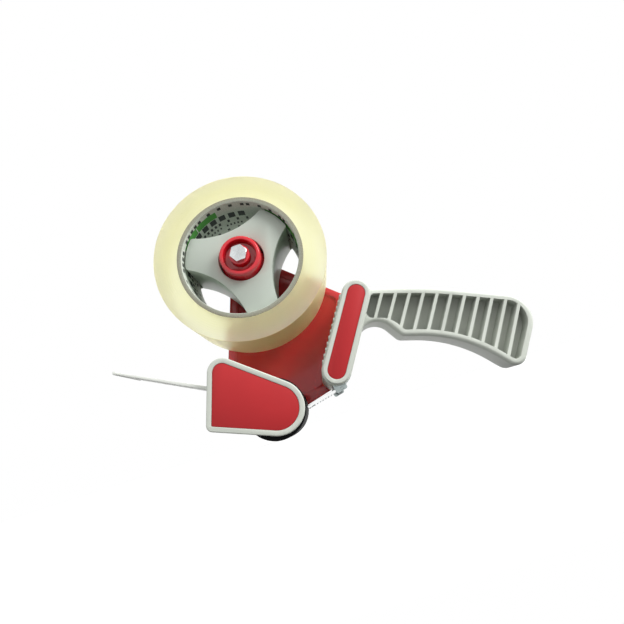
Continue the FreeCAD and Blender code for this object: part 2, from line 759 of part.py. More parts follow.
def lobe_sectors(offsets, half, inner, outer):
    """Ring sectors on every lobe, at angles from the lobe's middle."""
    curves = []
    for lobe in range(3):
        for offset in offsets:
            middle = S["hub_turn"] + 120 * lobe + offset
            curves += sector(inner, outer, middle - half, middle + half)
    return curves


def moved_in(curves, gap):
    """Closed outline moved inwards by a gap, as curves for a sketch."""
    wire = Part.Wire(Part.__sortEdges__([curve.toShape() for curve in curves]))
    inner = wire.makeOffset2D(-gap)
    return [edge_curve(edge) for edge in inner.Edges]


def edge_curve(edge):
    if isinstance(edge.Curve, Part.Line):
        return Part.LineSegment(edge.valueAt(edge.FirstParameter), edge.valueAt(edge.LastParameter))
    middle = (edge.FirstParameter + edge.LastParameter) / 2
    return Part.Arc(edge.valueAt(edge.FirstParameter), edge.valueAt(middle),
                    edge.valueAt(edge.LastParameter))


def make_hub():
    body = new_body("hub_body")
    lobes = sketch_on(body, "XZ_Plane", "hub_outline", "hub_face", lobed_outline())
    pad(body, "hub_shell", lobes, "hub_depth")
    doc.recompute()
    corner_edges(body, body.Tip, "hub_corners", "hub_corner")
    lugs = sketch_on(body, "XZ_Plane", "hub_lugs", "tape_width + core_gap", lobe_sectors(
        [0], S["lobe_span"] / 2, S["hub_radius"] - S["hub_wall"] / 2, S["hub_radius"] + S["lug_height"]))
    pad(body, "hub_lug_pads", lugs, "hub_face + hub_depth - tape_width - core_gap")
    half = math.degrees(S["crush_width"] / S["hub_radius"]) / 2
    ribs = sketch_on(body, "XZ_Plane", "hub_ribs", "hub_face + crush_start", lobe_sectors(
        [-S["crush_angle"], S["crush_angle"]], half, S["hub_radius"] - S["hub_wall"] / 2,
        S["core_bore"] / 2 - S["core_gap"]))
    pad(body, "hub_crush_ribs", ribs, "hub_depth - crush_start")
    hollow = sketch_on(body, "XZ_Plane", "hub_hollow", "hub_face + hub_wall",
                       moved_in(lobed_outline(), S["hub_wall"]))
    pocket(body, "hub_inside", hollow, "hub_depth")
    well = circle_in(sketch_on(body, "XZ_Plane", "hub_well_wall", "hub_face"), "well_radius + hub_wall")
    pad(body, "hub_well_solid", well, "well_depth + hub_wall")
    bearing = circle_in(sketch_on(body, "XZ_Plane", "hub_bearing", "hub_face + well_depth"),
                        "sleeve_radius + running_gap + bearing_wall")
    pad(body, "hub_bearing_tube", bearing, "hub_depth - well_depth")
    sink = circle_in(sketch_on(body, "XZ_Plane", "hub_well", "hub_face"), "well_radius")
    pocket(body, "hub_well_sink", sink, "well_depth")
    bore = circle_in(sketch_on(body, "XZ_Plane", "hub_bore", "hub_face"), "sleeve_radius + running_gap")
    pocket(body, "hub_bore_cut", bore, "hub_depth")
    keep(body, "hub")


def corner_edges(body, base, name, radius):
    """Round the edges of a pad that run along Y at the lobes' corners."""
    edges = []
    for index, edge in enumerate(base.Shape.Edges, start=1):
        box = edge.BoundBox
        reach = math.hypot(box.XMin, box.ZMin)
        if box.YLength > S["hub_wall"] and abs(reach - S["hub_radius"]) < S["fit_gap"]:
            edges.append("Edge%d" % index)
    feature = body.newObject("PartDesign::Fillet", name)
    feature.Base = (base, edges)
    feature.setExpression("Radius", spell(radius))
    return feature


# Brake

def make_brake():
    sleeve_start = "hub_face + well_depth + side_gap"
    keep(tube("sleeve", "bolt_radius + bolt_play", "sleeve_radius", sleeve_start,
              "plate_face + plate_press - ( %s )" % sleeve_start), "bearing_sleeve")
    keep(tube("friction", "sleeve_radius + running_gap", "friction_radius",
              "hub_face + well_depth - running_gap - washer_thick", "washer_thick"), "friction_washer")
    keep(tube("pressure", "bolt_radius + bolt_play", "pressure_radius",
              "hub_face + well_depth - 2 * running_gap - 2 * washer_thick", "washer_thick"),
         "pressure_washer")
    make_knob()
    make_bolt()
    make_spring()
    spot = "plate_face + plate_press + plate_thick"
    keep(hex_nut("weld_nut", spot, "bolt_radius + bolt_play"), "stud_nut")


def biarc(start, heading, end, arrival):
    """Two tangent arcs from a point and direction to another."""
    step = end - start
    both = heading + arrival
    bend = 2 * (1 - heading.dot(arrival))
    lean = step.dot(both)
    reach = (math.sqrt(lean * lean + bend * step.dot(step)) - lean) / bend
    joint = (start + end + (heading - arrival) * reach) / 2
    return [led_arc(start, heading, joint), led_arc(end, -arrival, joint)]


def led_arc(start, heading, end):
    """Arc that leaves its start in a given direction."""
    chord = end - start
    along = FreeCAD.Vector(chord).normalize()
    side = (heading - along * heading.dot(along)).normalize()
    bulge = chord.Length / 2 * math.tan(heading.getAngle(chord) / 2)
    return Part.Arc(start, start + chord / 2 + side * bulge, end).toShape()


def wire_section(centre, heading, radius):
    """Flats round the wire, square to where it starts."""
    out = FreeCAD.Vector(centre.x, 0, centre.z).normalize()
    side = heading.cross(out)
    count = int(S["spring_flats"])
    turns = [2 * math.pi * index / count for index in range(count)]
    corners = [centre + (out * math.cos(turn) + side * math.sin(turn)) * radius for turn in turns]
    return Part.makePolygon(corners + corners[:1])


def coil(name, radius, wire, start, length, turns):
    """Coil spring along Y: one unbroken wire on two arcs a quarter turn."""
    steps = int(4 * turns)
    climb = (length - wire) / steps
    points, headings = [], []
    for step in range(steps + 1):
        angle = math.pi / 2 * step
        points.append(FreeCAD.Vector(radius * math.cos(angle), start + wire / 2 + climb * step,
                                     radius * math.sin(angle)))
        headings.append(FreeCAD.Vector(-radius * math.sin(angle), climb / (math.pi / 2),
                                       radius * math.cos(angle)).normalize())
    edges = []
    for step in range(steps):
        edges += biarc(points[step], headings[step], points[step + 1], headings[step + 1])
    section = wire_section(points[0], headings[0], wire / 2)
    spring = doc.addObject("Part::Feature", name)
    spring.Shape = Part.Wire(Part.__sortEdges__(edges)).makePipeShell([section], True, False)
    print("%s: gap between turns %.2f" % (name, 4 * climb - wire))
    return spring


def make_spring():
    seat = S["spring_seat_floor"] + S["running_gap"]
    washers = S["hub_face"] + S["well_depth"] - 2 * (S["running_gap"] + S["washer_thick"])
    keep(coil("spring_coil", S["spring_radius"], S["spring_wire"], seat,
              washers - seat - S["running_gap"], S["spring_turns"]), "brake_spring")


def make_knob():
    """Dished knob with a boss under the bolt head and a flange before the hub."""
    s = S
    front = -(s["hex_front"] - s["hex_height"])
    edge = s["rim_round"]
    profile = [
        (s["bolt_radius"] + s["bolt_play"], front),
        (s["knob_boss"], front),
        (s["knob_boss"], s["knob_dish_depth"] - s["knob_proud"]),
        (s["knob_dish"], s["knob_dish_depth"] - s["knob_proud"]),
        (s["knob_dish"] + edge / 2, edge - s["knob_proud"]),
        (s["knob_dish"] + edge, -s["knob_proud"]),
        (s["knob_radius"] - edge, -s["knob_proud"]),
        (s["knob_radius"], edge - s["knob_proud"]),
        (s["knob_radius"], s["knob_back"] - s["knob_flange_thick"]),
        (s["knob_flange"] - edge, s["knob_back"] - s["knob_flange_thick"]),
        (s["knob_flange"], s["knob_back"] - s["knob_flange_thick"] + edge),
        (s["knob_flange"], s["knob_back"]),
        (s["spring_seat"], s["knob_back"]),
        (s["spring_seat"], s["spring_seat_floor"]),
        (s["bolt_radius"] + s["bolt_play"], s["spring_seat_floor"]),
    ]
    body = new_body("knob_body")
    turned(body, "knob_turned", profile)
    keep(body, "brake_knob")


def hexagon(flats):
    corner = flats / math.sqrt(3)
    return polygon([polar(corner, S["hex_turn"] + 60 * index) for index in range(6)])


def make_bolt():
    body = new_body("bolt_body")
    pad(body, "bolt_head", sketch_on(body, "XZ_Plane", "bolt_hexagon", "0 - hex_front",
                                     hexagon(S["hex_flats"])), "hex_height")
    shank = circle_in(sketch_on(body, "XZ_Plane", "bolt_shank_circle", "0 - hex_front"), "bolt_radius")
    pad(body, "bolt_shank", shank, "hex_front + bolt_end")
    keep(body, "brake_bolt")


def hex_nut(name, start, bore):
    body = new_body(name)
    pad(body, name + "_prism", sketch_on(body, "XZ_Plane", name + "_hexagon", start,
                                         hexagon(S["hex_flats"])), "nut_height")
    hole = circle_in(sketch_on(body, "XZ_Plane", name + "_bore", start), bore)
    pocket(body, name + "_hole", hole, "nut_height")
    return body


# Roller

def make_roller():
    inner = S["roller_radius"] - S["tyre_wall"]
    bore = S["axle_radius"] + S["running_gap"]
    start = S["roller_start"]
    end = start + S["roller_length"]
    web = S["roller_web"] / 2
    middle = (start + end) / 2
    rim = inner - S["roller_rim"]
    profile = [
        (bore, start), (S["roller_boss"], start), (S["roller_boss"], middle - web),
        (rim, middle - web), (rim, start), (inner, start), (inner, end), (rim, end),
        (rim, middle + web), (S["roller_boss"], middle + web), (S["roller_boss"], end), (bore, end),
    ]
    body = new_body("roller_core_body")
    turned(body, "roller_core_turned", profile)
    keep(body, "roller_core", place(x=AXLE[0], z=AXLE[1]))
    keep(tube("tyre", "roller_radius - tyre_wall", "roller_radius", "roller_start", "roller_length"),
         "roller_tyre", place(x=AXLE[0], z=AXLE[1]))
    keep(pin("axle", "axle_radius", "0 - cover_front + panel_inset",
             "cover_front - panel_inset + axle_end"), "roller_axle", place(x=AXLE[0], z=AXLE[1]))
    keep(hex_nut("axle_nut_body", "plate_face + plate_thick", "axle_radius + bolt_play"), "axle_nut",
         place(x=AXLE[0], z=AXLE[1]))
    keep(tube("axle_washer_body", "axle_radius + bolt_play", "roller_boss",
              "roller_start + roller_length + running_gap",
              "plate_face - roller_start - roller_length - 2 * running_gap"), "axle_washer",
         place(x=AXLE[0], z=AXLE[1]))


# Front cover

def cover_belt():
    return [
        (-S["cover_brow_reach"], -S["cover_brow_drop"], S["cover_brow"]),
        (-S["cover_chin_reach"], -S["cover_chin_drop"], S["cover_chin"]),
        (AXLE[0] + S["cover_end_back"], AXLE[1] + S["cover_end_rise"], S["cover_end"]),
    ]


def make_cover():
    body = new_body("cover")
    pad(body, "cover_slab", sketch_on(body, "XZ_Plane", "cover_outline", "0 - cover_front",
                                      belt(cover_belt())), "cover_thick")
    doc.recompute()
    soften(body, body.Tip, "cover_soft", "rim_round", -S["cover_front"])
    seat = moved_in(belt(cover_belt()), S["cover_rim"])
    pocket(body, "cover_recess", sketch_on(body, "XZ_Plane", "cover_seat", "0 - cover_front", seat),
           "panel_inset")
    holes = sketch_on(body, "XZ_Plane", "cover_holes", "0 - cover_front + panel_inset")
    circle_in(holes, "axle_radius + fit_gap", *AXLE)
    circle_in(holes, "small_screw + fit_gap", *bar_screw_spot())
    pocket(body, "cover_bores", holes, "cover_thick")
    sink = circle_in(sketch_on(body, "XZ_Plane", "cover_sink", "0 - cover_front + panel_inset"),
                     "small_head + fit_gap", *bar_screw_spot())
    pocket(body, "cover_counterbore", sink, "small_head_height + fit_gap")
    pin = sketch_on(body, "XZ_Plane", "cover_pin_hole", "0 - cover_front + cover_thick - overrun")
    circle_in(pin, "wiper_pin + fit_gap", *WIPER)
    pocket(body, "cover_pin_bore", pin, "overrun")
    keep(body, "front_cover")
    panel = new_body("front_panel_body")
    outline = sketch_on(panel, "XZ_Plane", "front_outline", "0 - cover_front + panel_inset - panel_thick",
                        moved_in(belt(cover_belt()), S["cover_rim"] + S["fit_gap"]))
    pad(panel, "front_sheet", outline, "panel_thick")
    keep(panel, "front_panel")


# Blade

def blade_outline():
    """Serrated strip in its own plane: width along Y, length downwards."""
    count = round(S["blade_width"] / S["tooth_pitch"])
    pitch = S["blade_width"] / count
    start = S["blade_side"]
    corners = [(start, 0)]
    for index in range(count):
        corners.append((start + index * pitch, -(S["blade_length"] - S["tooth_depth"])))
        corners.append((start + (index + 0.5) * pitch, -S["blade_length"]))
    corners.append((start + S["blade_width"], -(S["blade_length"] - S["tooth_depth"])))
    corners.append((start + S["blade_width"], 0))
    return polygon(corners)


def make_blade():
    spot = place(x=BLADE[0], z=BLADE[1], turn=S["blade_tilt"])
    body = new_body("blade_body")
    sketch = sketch_on(body, "YZ_Plane", "blade_sketch", None, blade_outline())
    feature = body.newObject("PartDesign::Pad", "blade_strip")
    feature.Profile = sketch
    feature.setExpression("Length", spell("blade_thick"))
    strip = doc.addObject("Part::Cut", "blade_drilled")
    strip.Base = body
    strip.Tool = doc.addObject("Part::MultiFuse", "blade_bores")
    strip.Tool.Shapes = [cross_rod("blade_hole_%d" % index, S["small_screw"] + S["fit_gap"],
                                   -S["overrun"], S["blade_thick"] + 2 * S["overrun"], y)
                         for index, y in enumerate(blade_screw_places(), start=1)]
    keep(strip, "blade", spot)
    bar_start = S["cover_thick"] - S["cover_front"]
    bar = doc.addObject("Part::Box", "bar")
    bind(bar, Length=spell("bar_thick"), Height=spell("bar_length"),
         Width=spell("plate_face + cover_front - cover_thick"))
    bar.Placement.Base = FreeCAD.Vector(-S["bar_thick"], bar_start, -S["bar_length"])
    middle = (-S["bar_thick"] / 2, -S["bar_length"] / 2)
    bores = [rod("bar_bore_near", "small_screw + fit_gap", "cover_thick - cover_front - overrun",
                 "small_length + overrun", *middle),
             rod("bar_bore_far", "small_screw + fit_gap", "plate_face - small_length",
                 "small_length + overrun", *middle)]
    through = S["bar_thick"] + S["blade_thick"] + 2 * S["overrun"]
    bores += [cross_rod("blade_bore_%d" % index, S["small_screw"] + S["fit_gap"],
                        -S["bar_thick"] - S["overrun"], through, y)
              for index, y in enumerate(blade_screw_places(), start=1)]
    cutters = doc.addObject("Part::MultiFuse", "bar_cutters")
    cutters.Shapes = bores
    drilled = doc.addObject("Part::Cut", "bar_drilled")
    drilled.Base = bar
    drilled.Tool = cutters
    keep(drilled, "blade_bar", spot)
    make_blade_screws(spot)
    make_bar_screws()


def blade_screw_places():
    near = S["blade_side"] + S["blade_screw_inset"]
    return [near, S["plate_face"] - near]


def cross_rod(name, radius, start, length, y):
    """Cylinder across the blade, along its own X axis."""
    cylinder = doc.addObject("Part::Cylinder", name)
    cylinder.Radius = radius
    cylinder.Height = length
    cylinder.Placement = FreeCAD.Placement(
        FreeCAD.Vector(start, y, -S["bar_length"] / 2), FreeCAD.Rotation(Y_AXIS, 90))
    return cylinder


def make_blade_screws(spot):
    """Pan head screws through the blade into the bar."""
    screws = []
    for index, y in enumerate(blade_screw_places(), start=1):
        stem = cross_rod("blade_screw_stem_%d" % index, S["small_screw"], S["blade_thick"] - S["bar_thick"],
                         S["bar_thick"], y)
        head = cross_rod("blade_screw_head_%d" % index, S["small_head"], S["blade_thick"],
                         S["small_head_height"], y)
        screws.append(fused("blade_screw_%d" % index, stem, head))
    group = doc.addObject("Part::Compound", "blade_screw_group")
    group.Links = screws
    keep(group, "blade_screws", spot)


def make_bar_screws():
    """A screw at each end of the bar: one through the cover, one through the plate."""
    x, z = bar_screw_spot()
    sunk = "0 - cover_front + panel_inset"
    near_stem = rod("bar_near_stem", "small_screw", sunk, "small_length", x, z)
    near_head = rod("bar_near_head", "small_head", sunk, "small_head_height", x, z)
    far_stem = rod("bar_far_stem", "small_screw", "plate_face + plate_thick - small_length",
                   "small_length + small_head_height", x, z)
    far_head = rod("bar_far_head", "small_head", "plate_face + plate_thick", "small_head_height", x, z)
    group = doc.addObject("Part::Compound", "bar_screw_group")
    group.Links = [fused("bar_near_screw", near_stem, near_head),
                   fused("bar_far_screw", far_stem, far_head)]
    keep(group, "bar_screws")


# Wiper

def make_wiper():
    spot = place(x=WIPER[0], z=WIPER[1], turn=S["wiper_tilt"])
    body = new_body("wiper_body")
    leaf = sketch_on(body, "XZ_Plane", "wiper_outline", "wiper_start", belt([
        (-S["wiper_length"], 0, S["wiper_tip"] / 2), (0, 0, S["wiper_root"] / 2)]))
    pad(body, "wiper_sheet", leaf, "wiper_width")
    eye = sketch_on(body, "XZ_Plane", "wiper_ends", "wiper_start")
    circle_in(eye, "wiper_eye")
    circle_in(eye, "wiper_bead", -S["wiper_length"])
    pad(body, "wiper_ends_pad", eye, "wiper_width")
    bore = circle_in(sketch_on(body, "XZ_Plane", "wiper_bore", "wiper_start"), "wiper_pin + running_gap")
    pocket(body, "wiper_hole", bore, "wiper_width")
    keep(body, "wiper_leaf", spot)
    keep(pin("wiper_rod", "wiper_pin", "cover_thick - cover_front - overrun",
             "plate_face + plate_thick + cover_front - cover_thick + overrun"), "wiper_pin_rod",
         place(x=WIPER[0], z=WIPER[1]))


# Gate

def gate_run():
    """Length and lean of the gate, from over its pin to the roller's side."""
    reach = S["roller_radius"] + S["gate_gap"] + S["gate_thick"] / 2
    tip = polar(reach, S["gate_meet"], AXLE)
    span = math.dist(tip, GATE)
    length = math.sqrt(span * span - gate_rise() ** 2)
    lean = math.atan2(tip[1] - GATE[1], GATE[0] - tip[0]) - math.asin(gate_rise() / span)
    return length, math.degrees(lean)


def gate_rise():
    """The leaf leaves its knuckle along the top."""
    return S["gate_eye"] - S["gate_thick"] / 2


def make_gate():
    length, lean = gate_run()
    body = new_body("gate_body")
    rise, half = gate_rise(), S["gate_thick"] / 2
    leaf = sketch_on(body, "XZ_Plane", "gate_outline", "gate_start",
                     belt([(-length, rise, half), (0, rise, half)]))
    pad(body, "gate_sheet", leaf, "gate_width")
    eye = circle_in(sketch_on(body, "XZ_Plane", "gate_knuckle", "gate_start"), "gate_eye")
    pad(body, "gate_knuckle_pad", eye, "gate_width")
    bore = circle_in(sketch_on(body, "XZ_Plane", "gate_bore", "gate_start"), "gate_pin + running_gap")
    pocket(body, "gate_hole", bore, "gate_width")
    keep(body, "tape_gate", place(x=GATE[0], z=GATE[1], turn=lean))
    keep(pin("gate_rod", "gate_pin", "bracket_start", "bracket_length"), "gate_pin_rod",
         place(x=GATE[0], z=GATE[1]))
    make_bracket()
    make_bracket_screws()


def ear_outline():
    """Ear beside the gate's knuckle, its lower edge parallel to the leaf."""
    lean = math.radians(gate_run()[1])
    corners = []
    for along, up in ((-S["ear_front"], -S["gate_eye"]), (S["ear_back"], -S["gate_eye"]),
                      (S["ear_back"], S["ear_rise"]), (-S["ear_front"], S["ear_rise"])):
        corners.append((GATE[0] + along * math.cos(lean) + up * math.sin(lean),
                        GATE[1] - along * math.sin(lean) + up * math.cos(lean)))
    return rounded(corners, [S["bracket_thick"]] * 2 + [S["bracket_thick"] / 2] * 2)


def bracket_screw_cones(name, inner, outer, start, length):
    """Cones that stand square on the head's round end, in the middle of the saddle."""
    angle = S["saddle_span"] / 2 - S["saddle_start"]
    depths = [S["bracket_start"] + S["saddle_inset"],
              S["bracket_start"] + S["bracket_length"] - S["saddle_inset"]]
    cones = []
    for index, y in enumerate(depths, start=1):
        cone = doc.addObject("Part::Cone", "%s_%d" % (name, index))
        bind(cone, Radius1=spell(inner), Radius2=spell(outer), Height=spell(length))
        x, z = polar(S["head_radius"] + start, angle, FOOT)
        cone.Placement = FreeCAD.Placement(FreeCAD.Vector(x, y, z), FreeCAD.Rotation(Y_AXIS, 90 - angle))
        cones.append(cone)
    return cones


def make_bracket_screws():
    """Countersunk screws, flush with the saddle."""
    stems = bracket_screw_cones("bracket_screw_stem", "small_screw", "small_screw",
                                -S["small_length"], "small_length")
    heads = bracket_screw_cones("bracket_screw_head", "small_screw", "small_head",
                                -S["bracket_thick"], "bracket_thick + fit_gap")
    group = doc.addObject("Part::Compound", "bracket_screw_group")
    group.Links = [fused("bracket_screw_%d" % index, stem, head)
                   for index, (stem, head) in enumerate(zip(stems, heads), start=1)]
    keep(group, "bracket_screws")


def saddle_recess():
    """Room for the saddle in the head's round end."""
    body = new_body("saddle_recess")
    room = sector(S["head_radius"] - S["bracket_thick"], S["head_radius"] + S["overrun"],
                  -S["saddle_start"] - S["saddle_ease"],
                  S["saddle_span"] - S["saddle_start"] + S["saddle_ease"], FOOT)
    outline = sketch_on(body, "XZ_Plane", "saddle_room_outline", "bracket_start - fit_gap", room)
    pad(body, "saddle_room", outline, "bracket_length + 2 * fit_gap")
    return body


def make_bracket():
    """Saddle let into the head, with an ear at each end that holds the gate's pin."""
    body = new_body("bracket_body")
    head, start = S["head_radius"], -S["saddle_start"]
    saddle = sector(head - S["bracket_thick"], head + S["fit_gap"], start, start + S["saddle_span"], FOOT)
    for name, depth in (("near_ear", "bracket_start"),
                        ("far_ear", "bracket_start + bracket_length - bracket_thick")):
        ear = sketch_on(body, "XZ_Plane", name + "_outline", depth, ear_outline())
        pad(body, name, ear, "bracket_thick")
    seat = circle_in(sketch_on(body, "XZ_Plane", "head_seat", "bracket_start"), "head_radius", *FOOT)
    pocket(body, "head_seat_cut", seat, "bracket_length")
    pad(body, "bracket_saddle", sketch_on(body, "XZ_Plane", "saddle_outline", "bracket_start", saddle),
        "bracket_length")
    hole = circle_in(sketch_on(body, "XZ_Plane", "ear_holes", "bracket_start"), "gate_pin + fit_gap", *GATE)
    pocket(body, "ear_bores", hole, "bracket_length")
    drilled = doc.addObject("Part::Cut", "bracket_drilled")
    drilled.Base = body
    drilled.Tool = doc.addObject("Part::MultiFuse", "bracket_bores")
    bores = bracket_screw_cones("bracket_sink", "small_screw + fit_gap", "small_head + fit_gap",
                                -S["bracket_thick"], "bracket_thick + fit_gap")
    wide = "small_screw + 2 * fit_gap"
    bores += bracket_screw_cones("bracket_bore", wide, wide, -S["small_length"], "small_length")
    drilled.Tool.Shapes = bores
    keep(drilled, "gate_bracket")


def stance():
    """Turn about Y that sets the roller and the heel on one level."""
    heel = heel_centre()
    run, rise = heel[0] - AXLE[0], heel[1] - AXLE[1]
    drop = S["roller_radius"] - S["grip_heel"]
    angle = math.atan2(rise, run) + math.asin(drop / math.hypot(run, rise))
    return place(turn=math.degrees(angle))


def settle():
    """Stand the whole on its roller and heel, centred over the origin."""
    upright = stance()
    for piece, spot in pieces:
        piece.Placement = upright.multiply(spot)
    doc.recompute()
    box = FreeCAD.BoundBox()
    for piece, spot in pieces:
        box.add(piece.Shape.optimalBoundingBox(False, False))
    shift = place(x=-box.Center.x, y=-box.Center.y, z=-box.ZMin)
    for piece, spot in pieces:
        piece.Placement = shift.multiply(upright).multiply(spot)
    doc.recompute()
    return shift.multiply(upright)


def check_document():
    for item in doc.Objects:
        if {"Invalid", "Error"} & set(item.State):
            raise RuntimeError("%s failed: %s" % (item.Label, item.State))
    for piece, spot in pieces:
        if piece.Shape.isNull() or not piece.Shape.isValid():
            raise RuntimeError("%s has no valid shape" % piece.Label)


make_tape()
make_side_plate()
make_handle()
make_head_cap()
make_head_screws()
make_hub()
make_brake()
make_roller()
make_cover()
make_blade()
make_wiper()
make_gate()
doc.recompute()
bench = settle()
check_document()

os.makedirs("parts", exist_ok=True)
for piece, spot in pieces:
    piece.Shape.exportStep("parts/%s.step" % piece.Label)
    print(piece.Label, len(piece.Shape.Solids), round(piece.Shape.Volume))
print("bench frame", bench)
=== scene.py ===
"""Looks of a hand dispenser for carton sealing tape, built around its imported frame.

Row frame in metres: +X towards the grip, +Y from the open side towards the side plate,
+Z up. Stud, roller, knob and roll all turn about axes along Y.
"""

import json
import math
import random

import bpy
from bpy.props import FloatProperty, FloatVectorProperty, IntProperty, PointerProperty
from mathutils import Matrix, Vector

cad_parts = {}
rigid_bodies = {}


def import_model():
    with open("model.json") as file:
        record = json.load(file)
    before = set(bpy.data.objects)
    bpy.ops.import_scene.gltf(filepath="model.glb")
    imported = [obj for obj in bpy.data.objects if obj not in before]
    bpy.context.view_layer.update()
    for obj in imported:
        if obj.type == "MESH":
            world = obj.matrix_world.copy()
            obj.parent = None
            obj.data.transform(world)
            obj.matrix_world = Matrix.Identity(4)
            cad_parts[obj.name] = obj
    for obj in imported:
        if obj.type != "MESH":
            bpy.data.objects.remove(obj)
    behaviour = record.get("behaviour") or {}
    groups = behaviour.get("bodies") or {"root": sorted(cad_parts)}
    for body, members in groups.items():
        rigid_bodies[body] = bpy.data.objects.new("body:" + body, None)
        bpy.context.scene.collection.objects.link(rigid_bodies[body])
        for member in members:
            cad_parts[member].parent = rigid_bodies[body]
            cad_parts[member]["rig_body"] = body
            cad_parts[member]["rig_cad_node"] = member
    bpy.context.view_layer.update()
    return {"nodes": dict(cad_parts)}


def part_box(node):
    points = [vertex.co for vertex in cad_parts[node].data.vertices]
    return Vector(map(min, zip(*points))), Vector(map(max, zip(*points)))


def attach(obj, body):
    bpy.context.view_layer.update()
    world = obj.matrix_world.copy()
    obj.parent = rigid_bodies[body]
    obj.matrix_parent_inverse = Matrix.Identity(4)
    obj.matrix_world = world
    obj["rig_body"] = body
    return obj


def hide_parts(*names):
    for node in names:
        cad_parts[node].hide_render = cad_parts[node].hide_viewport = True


bl_info = {
    "name": "Carton Tape Dispenser",
    "version": (1, 0, 0),
    "blender": (4, 5, 0),
    "location": "3D View > Sidebar > Tape Dispenser",
    "description": "Finishes a pistol grip tape dispenser and sets up its studio",
    "category": "Object",
}

MM = 0.001

# Folds sharper than SHARP stay sharp, those past BEVEL_FROM are rounded, and triangles
# within FLAT of one plane become one face. Corners nearer than MERGE, or in a CAD node's mesh
# than CAD_MERGE, are one corner.
SHARP = math.radians(35)
BEVEL_FROM = math.radians(40)
FLAT = math.radians(0.5)
MERGE = 0.001 * MM
CAD_MERGE = 0.002 * MM

# Sizes that the frame's boxes don't give.
ROLL_WALL = 15 * MM
CARD_WALL = 3 * MM
CARD_EDGE = 0.3 * MM
TYRE_WALL = 3.2 * MM
TYRE_GROOVES = (3 * MM, 5 * MM)
SCREW_HEAD = 2.2 * MM
SMALL_HEAD = 1.4 * MM
NUT_PLAY = 0.1 * MM

# Hexagons: radius of an end's flat ring as a share of half the flats, fall of the cone round
# it as a share of what the corners stand out, radius of the turned blank as a share of the
# corners', length of the bar as a share of the hexagon's, and where a bolt's shank starts.
RING_SHARE = 0.95
CONE_SHARE = 0.75
BLANK_SHARE = 1.01
BAR_SHARE = 1.2
SHANK_SHARE = 0.98

# Pan head screws: radius and height of the head's corners from its face to its crown, radius
# and length of the blunt point in radii of the shank, and width and depth of the recess.
PAN_SHARES = ((1, 0), (1, 0.45), (0.86, 0.82), (0.5, 0.98), (0, 1))
POINT_SHARE = 0.7
POINT_LENGTH_SHARE = 0.6
RECESS_SHARE = 1.25
RECESS_DEPTH_SHARE = 0.55

# Steps of the turned pieces and the spring, and the draw of the windings' steps.
ROLL_STEPS = 128
HEXAGON_STEPS = 48
SCREW_STEPS = 40
BOLT_STEPS = 32
COIL_STEPS = 40
WIRE_SIDES = 16
ROLL_SEED = 11

# Patterns of the finishes, in millimetres.
WINDING_RINGS = 1.4
FILM_CLOUDS = 22
# Width of the painted light along the roll's rim, where the outer windings are paler.
FILM_PAINTED_RIM_LIGHT = 9
FILM_SKIN = 0.2
CARD_FIBRE = 0.9
CARD_PALE_FROM = 1.5
CARD_INSIDE_FROM = 2.8
MOULD_CLOUDS = 18
# Reach of the painted shade in the pockets and corners of moulded pieces.
PAINTED_SHADE_REACH = 9
ENAMEL_CLOUDS = 24
ENAMEL_PEEL = 1.6
GRINDING_MARKS = 0.5
FELT_FIBRE = 0.5
GATE_LINES = 2.1
GATE_KNUCKLE = 5
GATE_HOLE = 1.0
GATE_HOLE_REACH = 8
GATE_WEAR = 1.5

# The gate's lines start at this share of its width, fill this share of their pitch, and are
# this dull and dark; their darkness is painted shade in pressed grooves.
GATE_LINED_SHARE = 0.55
GATE_LINE_SHARE = 0.35
GATE_LINE_SHADE_AND_DULLNESS = 0.9

# Dark spots of painted shade for the gate's holes: distance from its tip in millimetres, and
# share of its width. GATE_HOLE and GATE_HOLE_REACH are half of a spot's width and length.
GATE_HOLES = ((0.6, 0.8), (3.9, 0.66))

# Moulded plastics: colour, roughness, grain in millimetres, cloudiness, coat and gleam. The
# mouldings are satin, the panels flat, and the knob is polished and shows the lamps.
MOULDINGS = {
    "moulded_abs_grey": ("shell", 0.4, 0.45, 0.04, 0.0, 0.5),
    "moulded_abs_hub": ("hub", 0.38, 0.45, 0.04, 0.0, 0.5),
    "moulded_abs_panel": ("panel", 0.4, 0.6, 0.06, 0.0, 0.3),
    "moulded_pp_red": ("knob", 0.2, 0.8, 0.05, 0.4, 0.5),
    "moulded_pp_white": ("core", 0.42, 0.5, 0.03, 0.0, 0.5),
    "moulded_pp_wiper": ("wiper", 0.42, 0.5, 0.04, 0.0, 0.5),
}

# Metals: colour, roughness, stretch of the marks along X, Y and Z, and their width in
# millimetres. The blade's grinding runs along its edge, and plating is cloudy all ways.
METALS = {
    "drawn_spring_steel": ("spring", 0.3, (1, 1, 1), 0.6),
    "ground_blade_steel": ("blade", 0.24, (1, 0.1, 1), 0.4),
    "bright_zinc": ("zinc", 0.24, (1, 1, 1), 1.5),
    "dull_zinc": ("bracket", 0.32, (1, 1, 1), 1.2),
}

# Rows of marks inside the core: first and last depth in millimetres, marks in a full row,
# share of them that is there, share of its place that a mark fills, and its ink.
CORE_MARKS = (
    (2.5, 6, 60, 0.6, 0.62, "bars"),
    (6, 14, 14, 0.62, 0.97, "band"),
    (14.5, 22, 34, 0.8, 0.66, "bars"),
    (24, 28, 70, 0.7, 0.5, "bars"),
    (31, 34, 90, 0.65, 0.45, "bars"),
    (38, 41, 60, 0.6, 0.5, "bars"),
)

# Studio, in metres. The camera stands before the open side, near the floor.
LIT_FROM = (0.5, 0.45, 0.74)
KEY_SPOT = (1.15, -0.65, 0.75)
KEY_WIDTH = 0.6
FILL_SPOT = (-0.7, -0.8, 0.45)
FILL_WIDTH = 0.9
LAMPS_AIM = (0, 0, 0.08)
FLOOR_WIDTH = 6
CAMERA_SPOT = (-15.709 * MM, -321.05 * MM, 3.989 * MM)
CAMERA_FORWARD = (0.0422, 0.9753, 0.21672)
CAMERA_UP = (0.29376, -0.2194, 0.93034)
CAMERA_LENS = 27.69

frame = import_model()


# Sizes and colours

